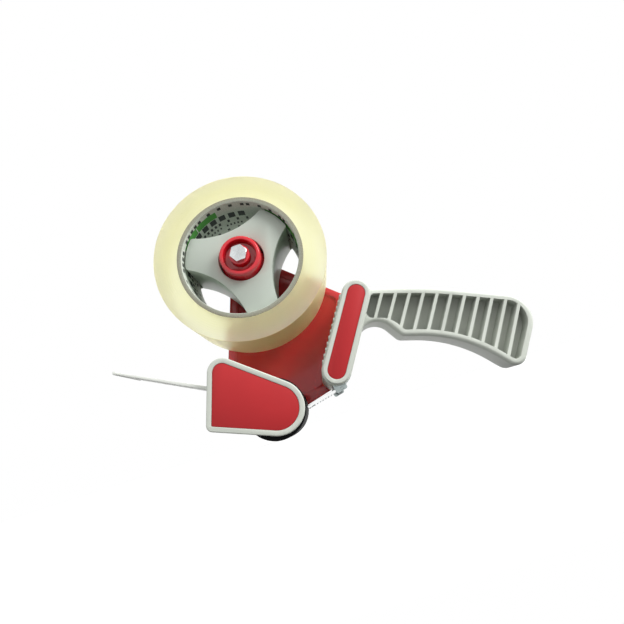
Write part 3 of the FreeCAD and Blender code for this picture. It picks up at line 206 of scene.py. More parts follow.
def linear(code):
    """Linear red, green and blue of an sRGB colour such as "#C4CBC3"."""
    shares = [int(code[at:at + 2], 16) / 255 for at in (1, 3, 5)]
    return tuple(s / 12.92 if s <= 0.04045 else ((s + 0.055) / 1.055) ** 2.4 for s in shares)


def colour(name, description, code):
    return FloatVectorProperty(name=name, description=description, default=linear(code),
                               min=0, max=1, size=3, subtype="COLOR")


def length(name, description, millimetres):
    return FloatProperty(name=name, description=description, default=millimetres * MM,
                         min=0, unit="LENGTH", subtype="DISTANCE")


class DispenserSizes(bpy.types.PropertyGroup):
    edge: length("Moulded edge", "Rounding of the edges of moulded pieces", 0.3)
    sheet_edge: length("Sheet edge", "Rounding of the edges of sheet metal", 0.15)
    winding_step: length("Winding step", "How far windings stand behind one another", 0.12)
    windings: IntProperty(name="Windings", description="Steps shown on the faces of the roll",
                          default=26, min=1)
    thread_pitch: length("Thread pitch", "Pitch of the bolt's thread", 1)
    wire: length("Spring wire", "Diameter of the brake spring's wire", 1.2)
    coils: IntProperty(name="Coils", description="Turns of the brake spring", default=4, min=1)
    recess: length("Cross recess", "Width of a slot in a screw head", 0.9)
    hex_flats: length("Hexagon", "Width across the flats of bolt head and nuts", 10)
    hex_height: length("Bolt head", "Height of the bolt's head", 4)
    hex_turn: FloatProperty(name="Hexagon turn", description="First corner, below the level",
                            default=math.radians(-3.79), unit="ROTATION", subtype="ANGLE")
    shank: length("Shank", "Radius of the brake bolt's shank", 2.95)
    root: length("Thread root", "Radius at the bottom of the bolt's thread", 2.5)
    threaded: length("Threaded end", "Length of the thread on the brake bolt", 25)
    screw_shank: length("Screw shank", "Radius of the plate screws", 1.9)
    small_shank: length("Small shank", "Radius of the small screws", 1.4)
    groove: length("Tyre groove", "Depth of the grooves near the tyre's ends", 0.4)


class DispenserColours(bpy.types.PropertyGroup):
    film: colour("Film", "Wound clear tape", "#FFFFDA")
    film_deep: colour("Film, deep", "Denser windings of the tape", "#FFFFD4")
    # Painted light: the paler outer windings stand for light coming through the roll.
    film_painted_rim_light: colour("Film, rim", "Outer windings, where most light comes through", "#FFFFE6")
    film_side: colour("Film, side", "Outermost winding, seen from outside", "#FFF8CC")
    card: colour("Card", "Outer plies of the core", "#9F9D8B")
    lining: colour("Lining", "Pale inner plies of the core", "#A2A494")
    inside: colour("Inside", "Inner face of the core", "#D3DACE")
    band: colour("Core band", "Marks of a second ink inside the core", "#4C9A3F")
    bars: colour("Core bars", "Dark marks inside the core", "#2F3631")
    shell: colour("Shell", "Grip, cap and guard", "#D1D6CC")
    hub: colour("Hub", "Three-lobed hub", "#BEC7BC")
    enamel: colour("Enamel", "Side plate", "#C8262A")
    panel: colour("Panel", "Panels in cap and guard", "#BA2A2E")
    knob: colour("Knob", "Brake knob", "#DA1A2A")
    rubber: colour("Rubber", "Tyre of the roller", "#0B0C0D")
    core: colour("Roller core", "Plastic core of the roller", "#E2E4DE")
    wiper: colour("Wiper", "Leaf that smooths the tape", "#E8EBE4")
    felt: colour("Felt", "Friction washer", "#6A675C")
    spring: colour("Spring steel", "Brake spring", "#8F9293")
    blade: colour("Blade steel", "Cutting blade", "#C6C9CB")
    zinc: colour("Zinc", "Plated screws and nuts", "#D8DCDD")
    gate: colour("Gate", "Bright strip behind the roller", "#F2F4F4")
    bracket: colour("Bracket", "Dull zinc of the gate's bracket", "#A6B0AF")


class StudioLevels(bpy.types.PropertyGroup):
    ambient: FloatProperty(name="Ambient", description="White surroundings on the lamp's side",
                           default=2.05, min=0)
    shade: FloatProperty(name="Shade", description="White surroundings on the side away from it",
                         default=0.1, min=0)
    key: FloatProperty(name="Key", description="Power of the large lamp, in watts",
                       default=18, min=0)
    fill: FloatProperty(name="Fill", description="Power of the lamp on the other side, in watts",
                        default=0.6, min=0)
    paper: FloatProperty(name="Paper", description="Share of light that the floor sends back",
                         default=0.14, min=0, max=1)
    floor_glow: FloatProperty(name="Floor glow", description="White that the floor shows on its own",
                              default=0.92, min=0, max=1)


# Selection and pieces

def select_only(*pieces):
    bpy.ops.object.select_all(action="DESELECT")
    for piece in pieces:
        piece.select_set(True)
    bpy.context.view_layer.objects.active = pieces[0]


def middle(node):
    """Centre of a node's box."""
    low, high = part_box(node)
    return (low + high) / 2


def settle(name):
    """Name the active piece and put its place into its mesh."""
    piece = bpy.context.object
    select_only(piece)
    bpy.ops.object.transform_apply(location=True, rotation=True, scale=True)
    piece.name = name
    piece.data.name = name
    return piece


def shaped(piece, kind, **settings):
    """Add a modifier and apply it."""
    select_only(piece)
    modifier = piece.modifiers.new(kind.title(), kind)
    for setting, value in settings.items():
        setattr(modifier, setting, value)
    bpy.ops.object.modifier_apply(modifier=modifier.name)


def smoothed(piece):
    select_only(piece)
    bpy.ops.object.shade_smooth_by_angle(angle=SHARP)


def show(piece, body, slot, material, *nodes):
    """Give a piece its finish and its body, in place of the CAD nodes that it stands for."""
    piece.data.materials.clear()
    piece.data.materials.append(material)
    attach(piece, body)
    if nodes:
        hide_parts(*nodes)
    return piece


def plain_copy(node, name):
    """Copy of a CAD node with its corners merged, selected."""
    select_only(frame["nodes"][node])
    bpy.ops.object.duplicate()
    piece = bpy.context.object
    piece.parent = None
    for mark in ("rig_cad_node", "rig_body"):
        del piece[mark]
    piece.name = name
    piece.data.name = name
    bpy.ops.mesh.customdata_custom_splitnormals_clear()
    bpy.ops.object.mode_set(mode="EDIT")
    bpy.ops.mesh.select_all(action="SELECT")
    bpy.ops.mesh.remove_doubles(threshold=CAD_MERGE)
    bpy.ops.object.mode_set(mode="OBJECT")
    return piece


def refined(node, name, width):
    """Merged copy of a CAD node with rounded edges."""
    piece = plain_copy(node, name)
    bpy.ops.object.mode_set(mode="EDIT")
    bpy.ops.mesh.dissolve_limited(angle_limit=FLAT)
    bpy.ops.object.mode_set(mode="OBJECT")
    shaped(piece, "BEVEL", width=width, segments=2, limit_method="ANGLE", angle_limit=BEVEL_FROM,
           harden_normals=False)
    smoothed(piece)
    return piece


def lathe(name, profile, centre, steps, ease=0.0):
    """Piece turned about an axis along Y, from (radius, y) corners; the outline is closed.

    The outline is drawn beside the axis by extruding one corner after another, then spun.
    """
    bpy.ops.object.select_all(action="DESELECT")
    bpy.ops.mesh.primitive_plane_add(size=MM, location=(centre.x, 0, centre.z))
    bpy.ops.object.mode_set(mode="EDIT")
    bpy.ops.mesh.select_mode(type="VERT")
    bpy.ops.mesh.select_all(action="SELECT")
    bpy.ops.mesh.merge(type="CENTER")
    bpy.ops.transform.translate(value=(profile[0][0], profile[0][1], 0))
    for (radius, y), (last_radius, last_y) in zip(profile[1:] + profile[:1], profile):
        step = (radius - last_radius, y - last_y, 0)
        bpy.ops.mesh.extrude_vertices_move(TRANSFORM_OT_translate={"value": step})
    bpy.ops.mesh.select_all(action="SELECT")
    bpy.ops.mesh.remove_doubles(threshold=MERGE)
    if ease:
        bpy.ops.mesh.bevel(offset=ease, segments=3, affect="VERTICES")
        bpy.ops.mesh.select_all(action="SELECT")
    bpy.ops.mesh.spin(steps=steps, angle=2 * math.pi, center=(centre.x, 0, centre.z),
                      axis=(0, 1, 0))
    bpy.ops.mesh.select_all(action="SELECT")
    bpy.ops.mesh.remove_doubles(threshold=MERGE)
    bpy.ops.mesh.normals_make_consistent(inside=False)
    bpy.ops.object.mode_set(mode="OBJECT")
    piece = settle(name)
    smoothed(piece)
    return piece


def hexagon(name, start, height, centre):
    """Hexagon prism along Y: a six-sided bar kept within a turned blank with coned ends."""
    sizes = bpy.context.scene.dispenser_sizes
    flats = sizes.hex_flats
    corner = flats / math.sqrt(3)
    drop = (corner - flats / 2) * CONE_SHARE
    ring, blank = flats / 2 * RING_SHARE, corner * BLANK_SHARE
    cone = lathe(name + "_turned", [
        (0, start), (ring, start), (blank, start + drop), (blank, start + height - drop),
        (ring, start + height), (0, start + height),
    ], centre, HEXAGON_STEPS)
    bpy.ops.object.select_all(action="DESELECT")
    bpy.ops.mesh.primitive_cylinder_add(
        vertices=6, radius=corner, depth=height * BAR_SHARE,
        location=(centre.x, start + height / 2, centre.z),
        rotation=(math.pi / 2, math.radians(30) + sizes.hex_turn, 0))
    piece = settle(name)
    shaped(piece, "BOOLEAN", operation="INTERSECT", object=cone, solver="EXACT")
    bpy.data.objects.remove(cone)
    return piece


def bored(piece, cutter):
    """Cut one piece out of another."""
    shaped(piece, "BOOLEAN", operation="DIFFERENCE", object=cutter, solver="EXACT")
    bpy.data.objects.remove(cutter)


def joined(*pieces):
    """Join pieces into the first one."""
    select_only(*pieces)
    bpy.ops.object.join()
    return pieces[0]


def copied(piece, name, start, end, turn=0.0):
    """Copy of a piece with its own mesh, taken from one point to another and turned about Z."""
    select_only(piece)
    bpy.ops.object.duplicate()
    there = Matrix.Translation(end) @ Matrix.Rotation(turn, 4, "Z") @ Matrix.Translation(-start)
    bpy.context.object.matrix_world = there
    return settle(name)


def thread(root, crest, start, end, pitch):
    """Profile corners of a thread's flanks, from start to end."""
    count = max(1, int((end - start) / pitch))
    corners = []
    for turn in range(count):
        corners.append((crest, start + turn * pitch))
        corners.append((root, start + (turn + 0.5) * pitch))
    return corners + [(crest, start + count * pitch)]


def solid_boxes(node):
    """Boxes of the separate solids of a CAD node."""
    plain_copy(node, node + "_parts")
    bpy.ops.object.mode_set(mode="EDIT")
    bpy.ops.mesh.separate(type="LOOSE")
    bpy.ops.object.mode_set(mode="OBJECT")
    boxes = []
    for part in list(bpy.context.selected_objects):
        corners = [part.matrix_world @ vertex.co for vertex in part.data.vertices]
        boxes.append([Vector([pick(corner[axis] for corner in corners) for axis in range(3)])
                      for pick in (min, max)])
        bpy.data.objects.remove(part)
    return boxes


def pan_screw(name, low, high, shank, height, facing):
    """Pan head screw with a cross recess, along Y in a solid's box.

    facing is 1 where the head looks to +Y and -1 where it looks to -Y.
    """
    recess = bpy.context.scene.dispenser_sizes.recess
    centre = (low + high) / 2
    radius = (high.x - low.x) / 2
    top, end = (high.y, low.y) if facing > 0 else (low.y, high.y)
    face = top - facing * height
    point = [(0, end), (shank * POINT_SHARE, end),
             (shank, end + facing * shank * POINT_LENGTH_SHARE), (shank, face)]
    head = [(radius * wide, face + facing * height * high) for wide, high in PAN_SHARES]
    piece = lathe(name, point + head, centre, SCREW_STEPS)
    span, depth = radius * RECESS_SHARE, height * RECESS_DEPTH_SHARE
    for number, (wide, high) in enumerate(((span, recess), (recess, span))):
        bpy.ops.object.select_all(action="DESELECT")
        bpy.ops.mesh.primitive_cube_add(size=1, location=(centre.x, top, centre.z),
                                        scale=(wide, 2 * depth, high))
        bored(piece, settle("%s_recess_%d" % (name, number)))
    smoothed(piece)
    return piece


def coil_spring(name, node, wire, turns):
    """Round wire wound about a CAD node's axis, its two cut ends closed."""
    low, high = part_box(node)
    centre = (low + high) / 2
    bpy.ops.object.select_all(action="DESELECT")
    bpy.ops.mesh.primitive_circle_add(vertices=WIRE_SIDES, radius=wire / 2,
                                      location=(centre.x, 0, centre.z))
    piece = bpy.context.object
    bpy.ops.object.mode_set(mode="EDIT")
    bpy.ops.mesh.select_all(action="SELECT")
    bpy.ops.transform.translate(value=((high.x - low.x - wire) / 2, low.y + wire / 2, 0))
    bpy.ops.object.mode_set(mode="OBJECT")
    shaped(piece, "SCREW", axis="Y", angle=2 * math.pi, steps=COIL_STEPS, render_steps=COIL_STEPS,
           iterations=turns, screw_offset=(high.y - low.y - wire) / turns,
           use_merge_vertices=False)
    bpy.ops.object.mode_set(mode="EDIT")
    bpy.ops.mesh.select_all(action="SELECT")
    bpy.ops.mesh.fill_holes(sides=0)
    bpy.ops.mesh.select_all(action="SELECT")
    bpy.ops.mesh.normals_make_consistent(inside=False)
    bpy.ops.object.mode_set(mode="OBJECT")
    piece = settle(name)
    smoothed(piece)
    return piece


# Materials

def add_node(tree, kind, sockets=None, **settings):
    """Add a node with its settings, and its sockets' values or links."""
    node = tree.nodes.new(kind)
    for setting, value in settings.items():
        setattr(node, setting, value)
    for socket, value in (sockets or {}).items():
        if isinstance(value, bpy.types.NodeSocket):
            tree.links.new(value, node.inputs[socket])
        else:
            node.inputs[socket].default_value = value
    return node


def rgba(value, share=1):
    """Opaque colour, made lighter or darker by a share."""
    return (*(min(1, part * share) for part in value), 1)


def new_material(name, sockets):
    """Material with one Principled shader, and the Object coordinates that its patterns read."""
    material = bpy.data.materials.new(name)
    material.use_nodes = True
    tree = material.node_tree
    tree.nodes.clear()
    shader = add_node(tree, "ShaderNodeBsdfPrincipled", sockets)
    add_node(tree, "ShaderNodeOutputMaterial", {"Surface": shader.outputs["BSDF"]})
    spot = add_node(tree, "ShaderNodeTexCoord").outputs["Object"]
    return material, tree, shader, spot


def per(millimetres):
    """Noise scale that gives features of this size."""
    return 1 / (millimetres * MM)


def rings(millimetres):
    """Wave scale that gives rings or bands of this pitch."""
    return 2 * math.pi / (20 * millimetres * MM)


def wound_film(colours):
    """Biaxially oriented polypropylene film with clear rubber adhesive, wound on a core.

    Light goes some way in and comes back pale yellow; what lies behind shows through darkly.
    The windings, 0.05 mm thick, are drawn as rings 1.4 mm apart so that they show.
    """
    material, tree, shader, spot = new_material("wound_bopp_film", {
        "Roughness": 0.45, "IOR": 1.3, "Transmission Weight": 0.7})
    centre = middle("tape_roll")
    centred = add_node(tree, "ShaderNodeMapping", {
        "Vector": spot, "Location": (-centre.x, 0, -centre.z)})
    ring = add_node(tree, "ShaderNodeTexWave", {
        "Vector": centred.outputs["Vector"], "Scale": rings(WINDING_RINGS), "Distortion": 1.2,
        "Detail": 2.0, "Detail Scale": 0.6}, wave_type="RINGS", rings_direction="Y")
    cloud = add_node(tree, "ShaderNodeTexNoise", {
        "Vector": spot, "Scale": per(FILM_CLOUDS), "Detail": 3.0})
    both = add_node(tree, "ShaderNodeMath", {0: ring.outputs["Fac"], 1: 0.35, 2: cloud.outputs["Fac"]},
                    operation="MULTIPLY_ADD")
    share = add_node(tree, "ShaderNodeMapRange", {
        "Value": both.outputs[0], "From Min": 0.35, "From Max": 1.0})
    tint = add_node(tree, "ShaderNodeMix", {
        0: share.outputs[0], 6: rgba(colours.film), 7: rgba(colours.film_deep)}, data_type="RGBA")
    flat = add_node(tree, "ShaderNodeVectorMath", {0: centred.outputs["Vector"], 1: (1, 0, 1)},
                    operation="MULTIPLY")
    radius = add_node(tree, "ShaderNodeVectorMath", {0: flat.outputs[0]}, operation="LENGTH")
    low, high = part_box("tape_roll")
    outer = (high.x - low.x) / 2
    # Painted light: the windings grow paler towards the rim, where light comes through the roll.
    rim_light_share = add_node(tree, "ShaderNodeMapRange", {
        "Value": radius.outputs["Value"], "From Min": outer - FILM_PAINTED_RIM_LIGHT * MM,
        "From Max": outer})
    rim = add_node(tree, "ShaderNodeMix", {
        0: rim_light_share.outputs[0], 6: tint.outputs[2], 7: rgba(colours.film_painted_rim_light)}, data_type="RGBA")
    outermost = add_node(tree, "ShaderNodeMath", {
        0: radius.outputs["Value"], 1: outer - FILM_SKIN * MM}, operation="GREATER_THAN")
    shown = add_node(tree, "ShaderNodeMix", {
        0: outermost.outputs[0], 6: rim.outputs[2], 7: rgba(colours.film_side)}, data_type="RGBA")
    tree.links.new(shown.outputs[2], shader.inputs["Base Color"])
    bump = add_node(tree, "ShaderNodeBump", {
        "Height": ring.outputs["Fac"], "Strength": 0.25, "Distance": 0.05 * MM})
    tree.links.new(bump.outputs["Normal"], shader.inputs["Normal"])
    return material


def core_card(colours):
    """Spirally wound grey board: matt, fibrous, paler in its inner plies.

    The marks inside are rows of plain bars and dots with gaps, in a dark and a green ink.
    """
    material, tree, shader, spot = new_material("wound_card", {"Roughness": 0.8})
    low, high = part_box("tape_core")
    centre = middle("tape_core")
    centred = add_node(tree, "ShaderNodeMapping", {
        "Vector": spot, "Location": (-centre.x, -low.y, -centre.z)})
    axes = add_node(tree, "ShaderNodeSeparateXYZ", {0: centred.outputs["Vector"]})
    angle = add_node(tree, "ShaderNodeMath", {0: axes.outputs["Z"], 1: axes.outputs["X"]},
                     operation="ARCTAN2")
    flat = add_node(tree, "ShaderNodeCombineXYZ", {"X": axes.outputs["X"], "Z": axes.outputs["Z"]})
    radius = add_node(tree, "ShaderNodeVectorMath", {0: flat.outputs[0]}, operation="LENGTH")
    outer = (high.x - low.x) / 2
    fibre = add_node(tree, "ShaderNodeTexNoise", {
        "Vector": spot, "Scale": per(CARD_FIBRE), "Detail": 4.0})
    inner_plies = add_node(tree, "ShaderNodeMath", {
        0: radius.outputs["Value"], 1: outer - CARD_PALE_FROM * MM}, operation="LESS_THAN")
    plies = add_node(tree, "ShaderNodeMix", {
        0: inner_plies.outputs[0], 6: rgba(colours.card), 7: rgba(colours.lining)}, data_type="RGBA")
    inside = add_node(tree, "ShaderNodeMath", {
        0: radius.outputs["Value"], 1: outer - CARD_INSIDE_FROM * MM}, operation="LESS_THAN")
    faces = add_node(tree, "ShaderNodeMix", {
        0: inside.outputs[0], 6: plies.outputs[2], 7: rgba(colours.inside)}, data_type="RGBA")
    speckle = add_node(tree, "ShaderNodeMapRange", {
        "Value": fibre.outputs["Fac"], "From Min": 0.3, "From Max": 0.7,
        "To Min": 1.08, "To Max": 0.8})
    board = add_node(tree, "ShaderNodeMix", {0: 1.0, 6: faces.outputs[2], 7: speckle.outputs[0]},
                     data_type="RGBA", blend_type="MULTIPLY")
    shown = board.outputs[2]
    for *row, ink in CORE_MARKS:
        mark = marked(tree, angle.outputs[0], axes.outputs["Y"], *row)
        printed = add_node(tree, "ShaderNodeMath", {0: mark, 1: inside.outputs[0]},
                           operation="MULTIPLY")
        shown = add_node(tree, "ShaderNodeMix", {
            0: printed.outputs[0], 6: shown, 7: rgba(getattr(colours, ink))},
            data_type="RGBA").outputs[2]
    tree.links.new(shown, shader.inputs["Base Color"])
    bump = add_node(tree, "ShaderNodeBump", {
        "Height": fibre.outputs["Fac"], "Strength": 0.4, "Distance": 0.05 * MM})
    tree.links.new(bump.outputs["Normal"], shader.inputs["Normal"])
    return material


def marked(tree, angle, depth, start, end, count, presence, share):
    """1 on a broken row of bars round the bore, between two depths in millimetres."""
    cell = add_node(tree, "ShaderNodeMath", {0: angle, 1: count / (2 * math.pi)},
                    operation="MULTIPLY")
    number = add_node(tree, "ShaderNodeMath", {0: cell.outputs[0]}, operation="FLOOR")
    chance = add_node(tree, "ShaderNodeTexWhiteNoise", {"W": number.outputs[0]},
                      noise_dimensions="1D")
    kept = add_node(tree, "ShaderNodeMath", {0: chance.outputs["Value"], 1: presence},
                    operation="LESS_THAN")
    within = add_node(tree, "ShaderNodeMath", {0: cell.outputs[0]}, operation="FRACT")
    inked = add_node(tree, "ShaderNodeMath", {0: within.outputs[0], 1: share},
                     operation="LESS_THAN")
    row = add_node(tree, "ShaderNodeMath", {
        0: depth, 1: (start + end) / 2 * MM, 2: (end - start) / 2 * MM}, operation="COMPARE")
    bars = add_node(tree, "ShaderNodeMath", {0: kept.outputs[0], 1: inked.outputs[0]},
                    operation="MULTIPLY")
    return add_node(tree, "ShaderNodeMath", {0: bars.outputs[0], 1: row.outputs[0]},
                    operation="MULTIPLY").outputs[0]


def moulded(name, value, roughness, grain, cloudiness, coat, gleam):
    """Injection moulded ABS or polypropylene with the fine grain of a spark-eroded mould.

    The grain, about 0.1 mm in the mould, is drawn coarser so that it shows. Pockets and
    corners of the piece itself are darkened with painted shade, the more the closer in they are.
    """
    material, tree, shader, spot = new_material(name, {
        "Roughness": roughness, "IOR": 1.5, "Coat Weight": coat, "Coat Roughness": 0.12,
        "Specular IOR Level": gleam})
    cloud = add_node(tree, "ShaderNodeTexNoise", {
        "Vector": spot, "Scale": per(MOULD_CLOUDS), "Detail": 3.0})
    tint = add_node(tree, "ShaderNodeMix", {
        0: cloud.outputs["Fac"], 6: rgba(value, 1 + cloudiness),
        7: rgba(value, 1 - cloudiness)}, data_type="RGBA")
    # Painted shade: the colour is darkened in the piece's own pockets and corners.
    open_share = add_node(tree, "ShaderNodeAmbientOcclusion", {"Distance": PAINTED_SHADE_REACH * MM},
                          samples=8, only_local=True)
    painted_shade = add_node(tree, "ShaderNodeMapRange", {
        "Value": open_share.outputs["AO"], "From Min": 0.15, "From Max": 0.8,
        "To Min": 0.55, "To Max": 1.0})
    shade_painted_tint = add_node(tree, "ShaderNodeMix", {
        0: 1.0, 6: tint.outputs[2], 7: painted_shade.outputs[0]}, data_type="RGBA", blend_type="MULTIPLY")
    tree.links.new(shade_painted_tint.outputs[2], shader.inputs["Base Color"])
    fine = add_node(tree, "ShaderNodeTexNoise", {"Vector": spot, "Scale": per(grain), "Detail": 2.0})
    gloss = add_node(tree, "ShaderNodeMapRange", {
        "Value": fine.outputs["Fac"], "To Min": roughness * 0.85, "To Max": roughness * 1.2})
    tree.links.new(gloss.outputs[0], shader.inputs["Roughness"])
    bump = add_node(tree, "ShaderNodeBump", {
        "Height": fine.outputs["Fac"], "Strength": 0.18, "Distance": 0.04 * MM})
    tree.links.new(bump.outputs["Normal"], shader.inputs["Normal"])
    return material


def enamel(colours):
    """Gloss enamel stoved on pressed sheet steel: deep red, faintly cloudy, with orange peel."""
    material, tree, shader, spot = new_material("stoved_enamel", {
        "Roughness": 0.28, "IOR": 1.5, "Specular IOR Level": 0.35, "Coat Weight": 0.5,
        "Coat Roughness": 0.07})
    cloud = add_node(tree, "ShaderNodeTexNoise", {
        "Vector": spot, "Scale": per(ENAMEL_CLOUDS), "Detail": 2.0, "Distortion": 0.3})
    flow = add_node(tree, "ShaderNodeMapRange", {
        "Value": cloud.outputs["Fac"], "From Min": 0.35, "From Max": 0.68})
    tint = add_node(tree, "ShaderNodeMix", {
        0: flow.outputs[0], 6: rgba(colours.enamel, 1.03),
        7: rgba(colours.enamel, 0.86)}, data_type="RGBA")
    tree.links.new(tint.outputs[2], shader.inputs["Base Color"])
    peel = add_node(tree, "ShaderNodeTexNoise", {
        "Vector": spot, "Scale": per(ENAMEL_PEEL), "Detail": 1.0})
    bump = add_node(tree, "ShaderNodeBump", {
        "Height": peel.outputs["Fac"], "Strength": 0.1, "Distance": 0.05 * MM})
    tree.links.new(bump.outputs["Normal"], shader.inputs["Normal"])
    return material


def rubber(colours):
    """Ground rubber tyre: nearly black, matt, with fine grinding marks round it."""
    material, tree, shader, spot = new_material("ground_rubber", {
        "Roughness": 0.6, "IOR": 1.45, "Specular IOR Level": 0.1})
    marks = add_node(tree, "ShaderNodeMapping", {"Vector": spot, "Scale": (0.15, 1, 0.15)})
    line = add_node(tree, "ShaderNodeTexNoise", {
        "Vector": marks.outputs["Vector"], "Scale": per(GRINDING_MARKS), "Detail": 3.0})
    tint = add_node(tree, "ShaderNodeMix", {
        0: line.outputs["Fac"], 6: rgba(colours.rubber),
        7: rgba(colours.rubber, 1.9)}, data_type="RGBA")
    tree.links.new(tint.outputs[2], shader.inputs["Base Color"])
    bump = add_node(tree, "ShaderNodeBump", {
        "Height": line.outputs["Fac"], "Strength": 0.4, "Distance": 0.05 * MM})
    tree.links.new(bump.outputs["Normal"], shader.inputs["Normal"])
    return material


def felt(colours):
    """Pressed wool felt: matt and fibrous."""
    material, tree, shader, spot = new_material("pressed_felt", {
        "Roughness": 0.95, "Sheen Weight": 0.4})
    fibre = add_node(tree, "ShaderNodeTexNoise", {
        "Vector": spot, "Scale": per(FELT_FIBRE), "Detail": 6.0})
    tint = add_node(tree, "ShaderNodeMix", {
        0: fibre.outputs["Fac"], 6: rgba(colours.felt), 7: rgba(colours.felt, 0.6)},
        data_type="RGBA")
    tree.links.new(tint.outputs[2], shader.inputs["Base Color"])
    bump = add_node(tree, "ShaderNodeBump", {
        "Height": fibre.outputs["Fac"], "Strength": 0.8, "Distance": 0.1 * MM})
    tree.links.new(bump.outputs["Normal"], shader.inputs["Normal"])
    return material


def metal(name, value, roughness, stretch, grain):
    """Bare or plated steel, with marks drawn along the direction that stretch leaves short."""
    material, tree, shader, spot = new_material(name, {"Metallic": 1.0, "Roughness": roughness})
    drawn = add_node(tree, "ShaderNodeMapping", {"Vector": spot, "Scale": stretch})
    mark = add_node(tree, "ShaderNodeTexNoise", {
        "Vector": drawn.outputs["Vector"], "Scale": per(grain), "Detail": 3.0})
    tint = add_node(tree, "ShaderNodeMix", {
        0: mark.outputs["Fac"], 6: rgba(value), 7: rgba(value, 0.72)}, data_type="RGBA")
    tree.links.new(tint.outputs[2], shader.inputs["Base Color"])
    gloss = add_node(tree, "ShaderNodeMapRange", {
        "Value": mark.outputs["Fac"], "To Min": roughness * 0.7, "To Max": roughness * 1.4})
    tree.links.new(gloss.outputs[0], shader.inputs["Roughness"])
    bump = add_node(tree, "ShaderNodeBump", {
        "Height": mark.outputs["Fac"], "Strength": 0.12, "Distance": 0.03 * MM})
    tree.links.new(bump.outputs["Normal"], shader.inputs["Normal"])
    return material


def pressed_gate(colours):
    """Bright zinc strip with pressed cross lines and two drain holes, its knuckle duller.

    The lines and holes are drawn, in the half of the strip next to the side plate, as painted shade:
    the lines duller and darker, the holes dark spots.
    """
    material, tree, shader, spot = new_material("pressed_zinc_gate", {
        "Metallic": 1.0, "Roughness": 0.3})
    low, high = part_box("tape_gate")
    axes = add_node(tree, "ShaderNodeSeparateXYZ", {0: spot})
    half = add_node(tree, "ShaderNodeMath", {
        0: axes.outputs["Y"], 1: low.y + (high.y - low.y) * GATE_LINED_SHARE},
        operation="GREATER_THAN")
    along = add_node(tree, "ShaderNodeMath", {0: axes.outputs["X"], 1: low.x}, operation="SUBTRACT")
    pitches = add_node(tree, "ShaderNodeMath", {0: along.outputs[0], 1: GATE_LINES * MM},
                       operation="DIVIDE")
    within = add_node(tree, "ShaderNodeMath", {0: pitches.outputs[0]}, operation="FRACT")
    line = add_node(tree, "ShaderNodeMath", {0: within.outputs[0], 1: GATE_LINE_SHARE},
                    operation="LESS_THAN")
    lines = add_node(tree, "ShaderNodeMath", {0: line.outputs[0], 1: half.outputs[0]},
                     operation="MULTIPLY")
    knuckle = add_node(tree, "ShaderNodeMath", {
        0: axes.outputs["X"], 1: high.x - GATE_KNUCKLE * MM}, operation="GREATER_THAN")
    # Painted shade on the pressed lines, together with the knuckle's real duller zinc.
    dull_and_shade = add_node(tree, "ShaderNodeMath", {
        0: lines.outputs[0], 1: GATE_LINE_SHADE_AND_DULLNESS, 2: knuckle.outputs[0]},
        operation="MULTIPLY_ADD", use_clamp=True)
    strip = add_node(tree, "ShaderNodeMix", {
        0: dull_and_shade.outputs[0], 6: rgba(colours.gate), 7: rgba(colours.bracket)}, data_type="RGBA")
    shown = strip.outputs[2]
    # Painted shade: each hole is drawn as a dark spot in the core's dark ink.
    for inset, depth in GATE_HOLES:
        across = add_node(tree, "ShaderNodeMath", {
            0: along.outputs[0], 1: inset * MM, 2: GATE_HOLE * MM}, operation="COMPARE")
        deep = add_node(tree, "ShaderNodeMath", {
            0: axes.outputs["Y"], 1: low.y + (high.y - low.y) * depth, 2: GATE_HOLE_REACH * MM},
            operation="COMPARE")
        painted_hole_shade = add_node(tree, "ShaderNodeMath", {0: across.outputs[0], 1: deep.outputs[0]},
                        operation="MULTIPLY")
        shown = add_node(tree, "ShaderNodeMix", {
            0: painted_hole_shade.outputs[0], 6: shown, 7: rgba(colours.bars)}, data_type="RGBA").outputs[2]
        dull_and_shade = add_node(tree, "ShaderNodeMath", {0: painted_hole_shade.outputs[0], 1: dull_and_shade.outputs[0]},
                        operation="MAXIMUM")
    tree.links.new(shown, shader.inputs["Base Color"])
    bare = add_node(tree, "ShaderNodeMapRange", {
        "Value": dull_and_shade.outputs[0], "To Min": 1.0, "To Max": 0.1})
    tree.links.new(bare.outputs[0], shader.inputs["Metallic"])
    matt = add_node(tree, "ShaderNodeMapRange", {
        "Value": dull_and_shade.outputs[0], "To Min": 0.3, "To Max": 0.8})
    tree.links.new(matt.outputs[0], shader.inputs["Roughness"])
    wear = add_node(tree, "ShaderNodeTexNoise", {
        "Vector": spot, "Scale": per(GATE_WEAR), "Detail": 3.0})
    bump = add_node(tree, "ShaderNodeBump", {
        "Height": wear.outputs["Fac"], "Strength": 0.12, "Distance": 0.03 * MM})
    tree.links.new(bump.outputs["Normal"], shader.inputs["Normal"])
    return material


def finish(name):
    """The material of that finish, made once."""
    found = bpy.data.materials.get(name)
    if found:
        return found
    colours = bpy.context.scene.dispenser_colours
    for table, maker in ((MOULDINGS, moulded), (METALS, metal)):
        if name in table:
            value, *manner = table[name]
            return maker(name, getattr(colours, value), *manner)
    return {
        "wound_bopp_film": wound_film, "wound_card": core_card, "stoved_enamel": enamel,
        "ground_rubber": rubber, "pressed_felt": felt, "pressed_zinc_gate": pressed_gate,
    }[name](colours)


# Operators

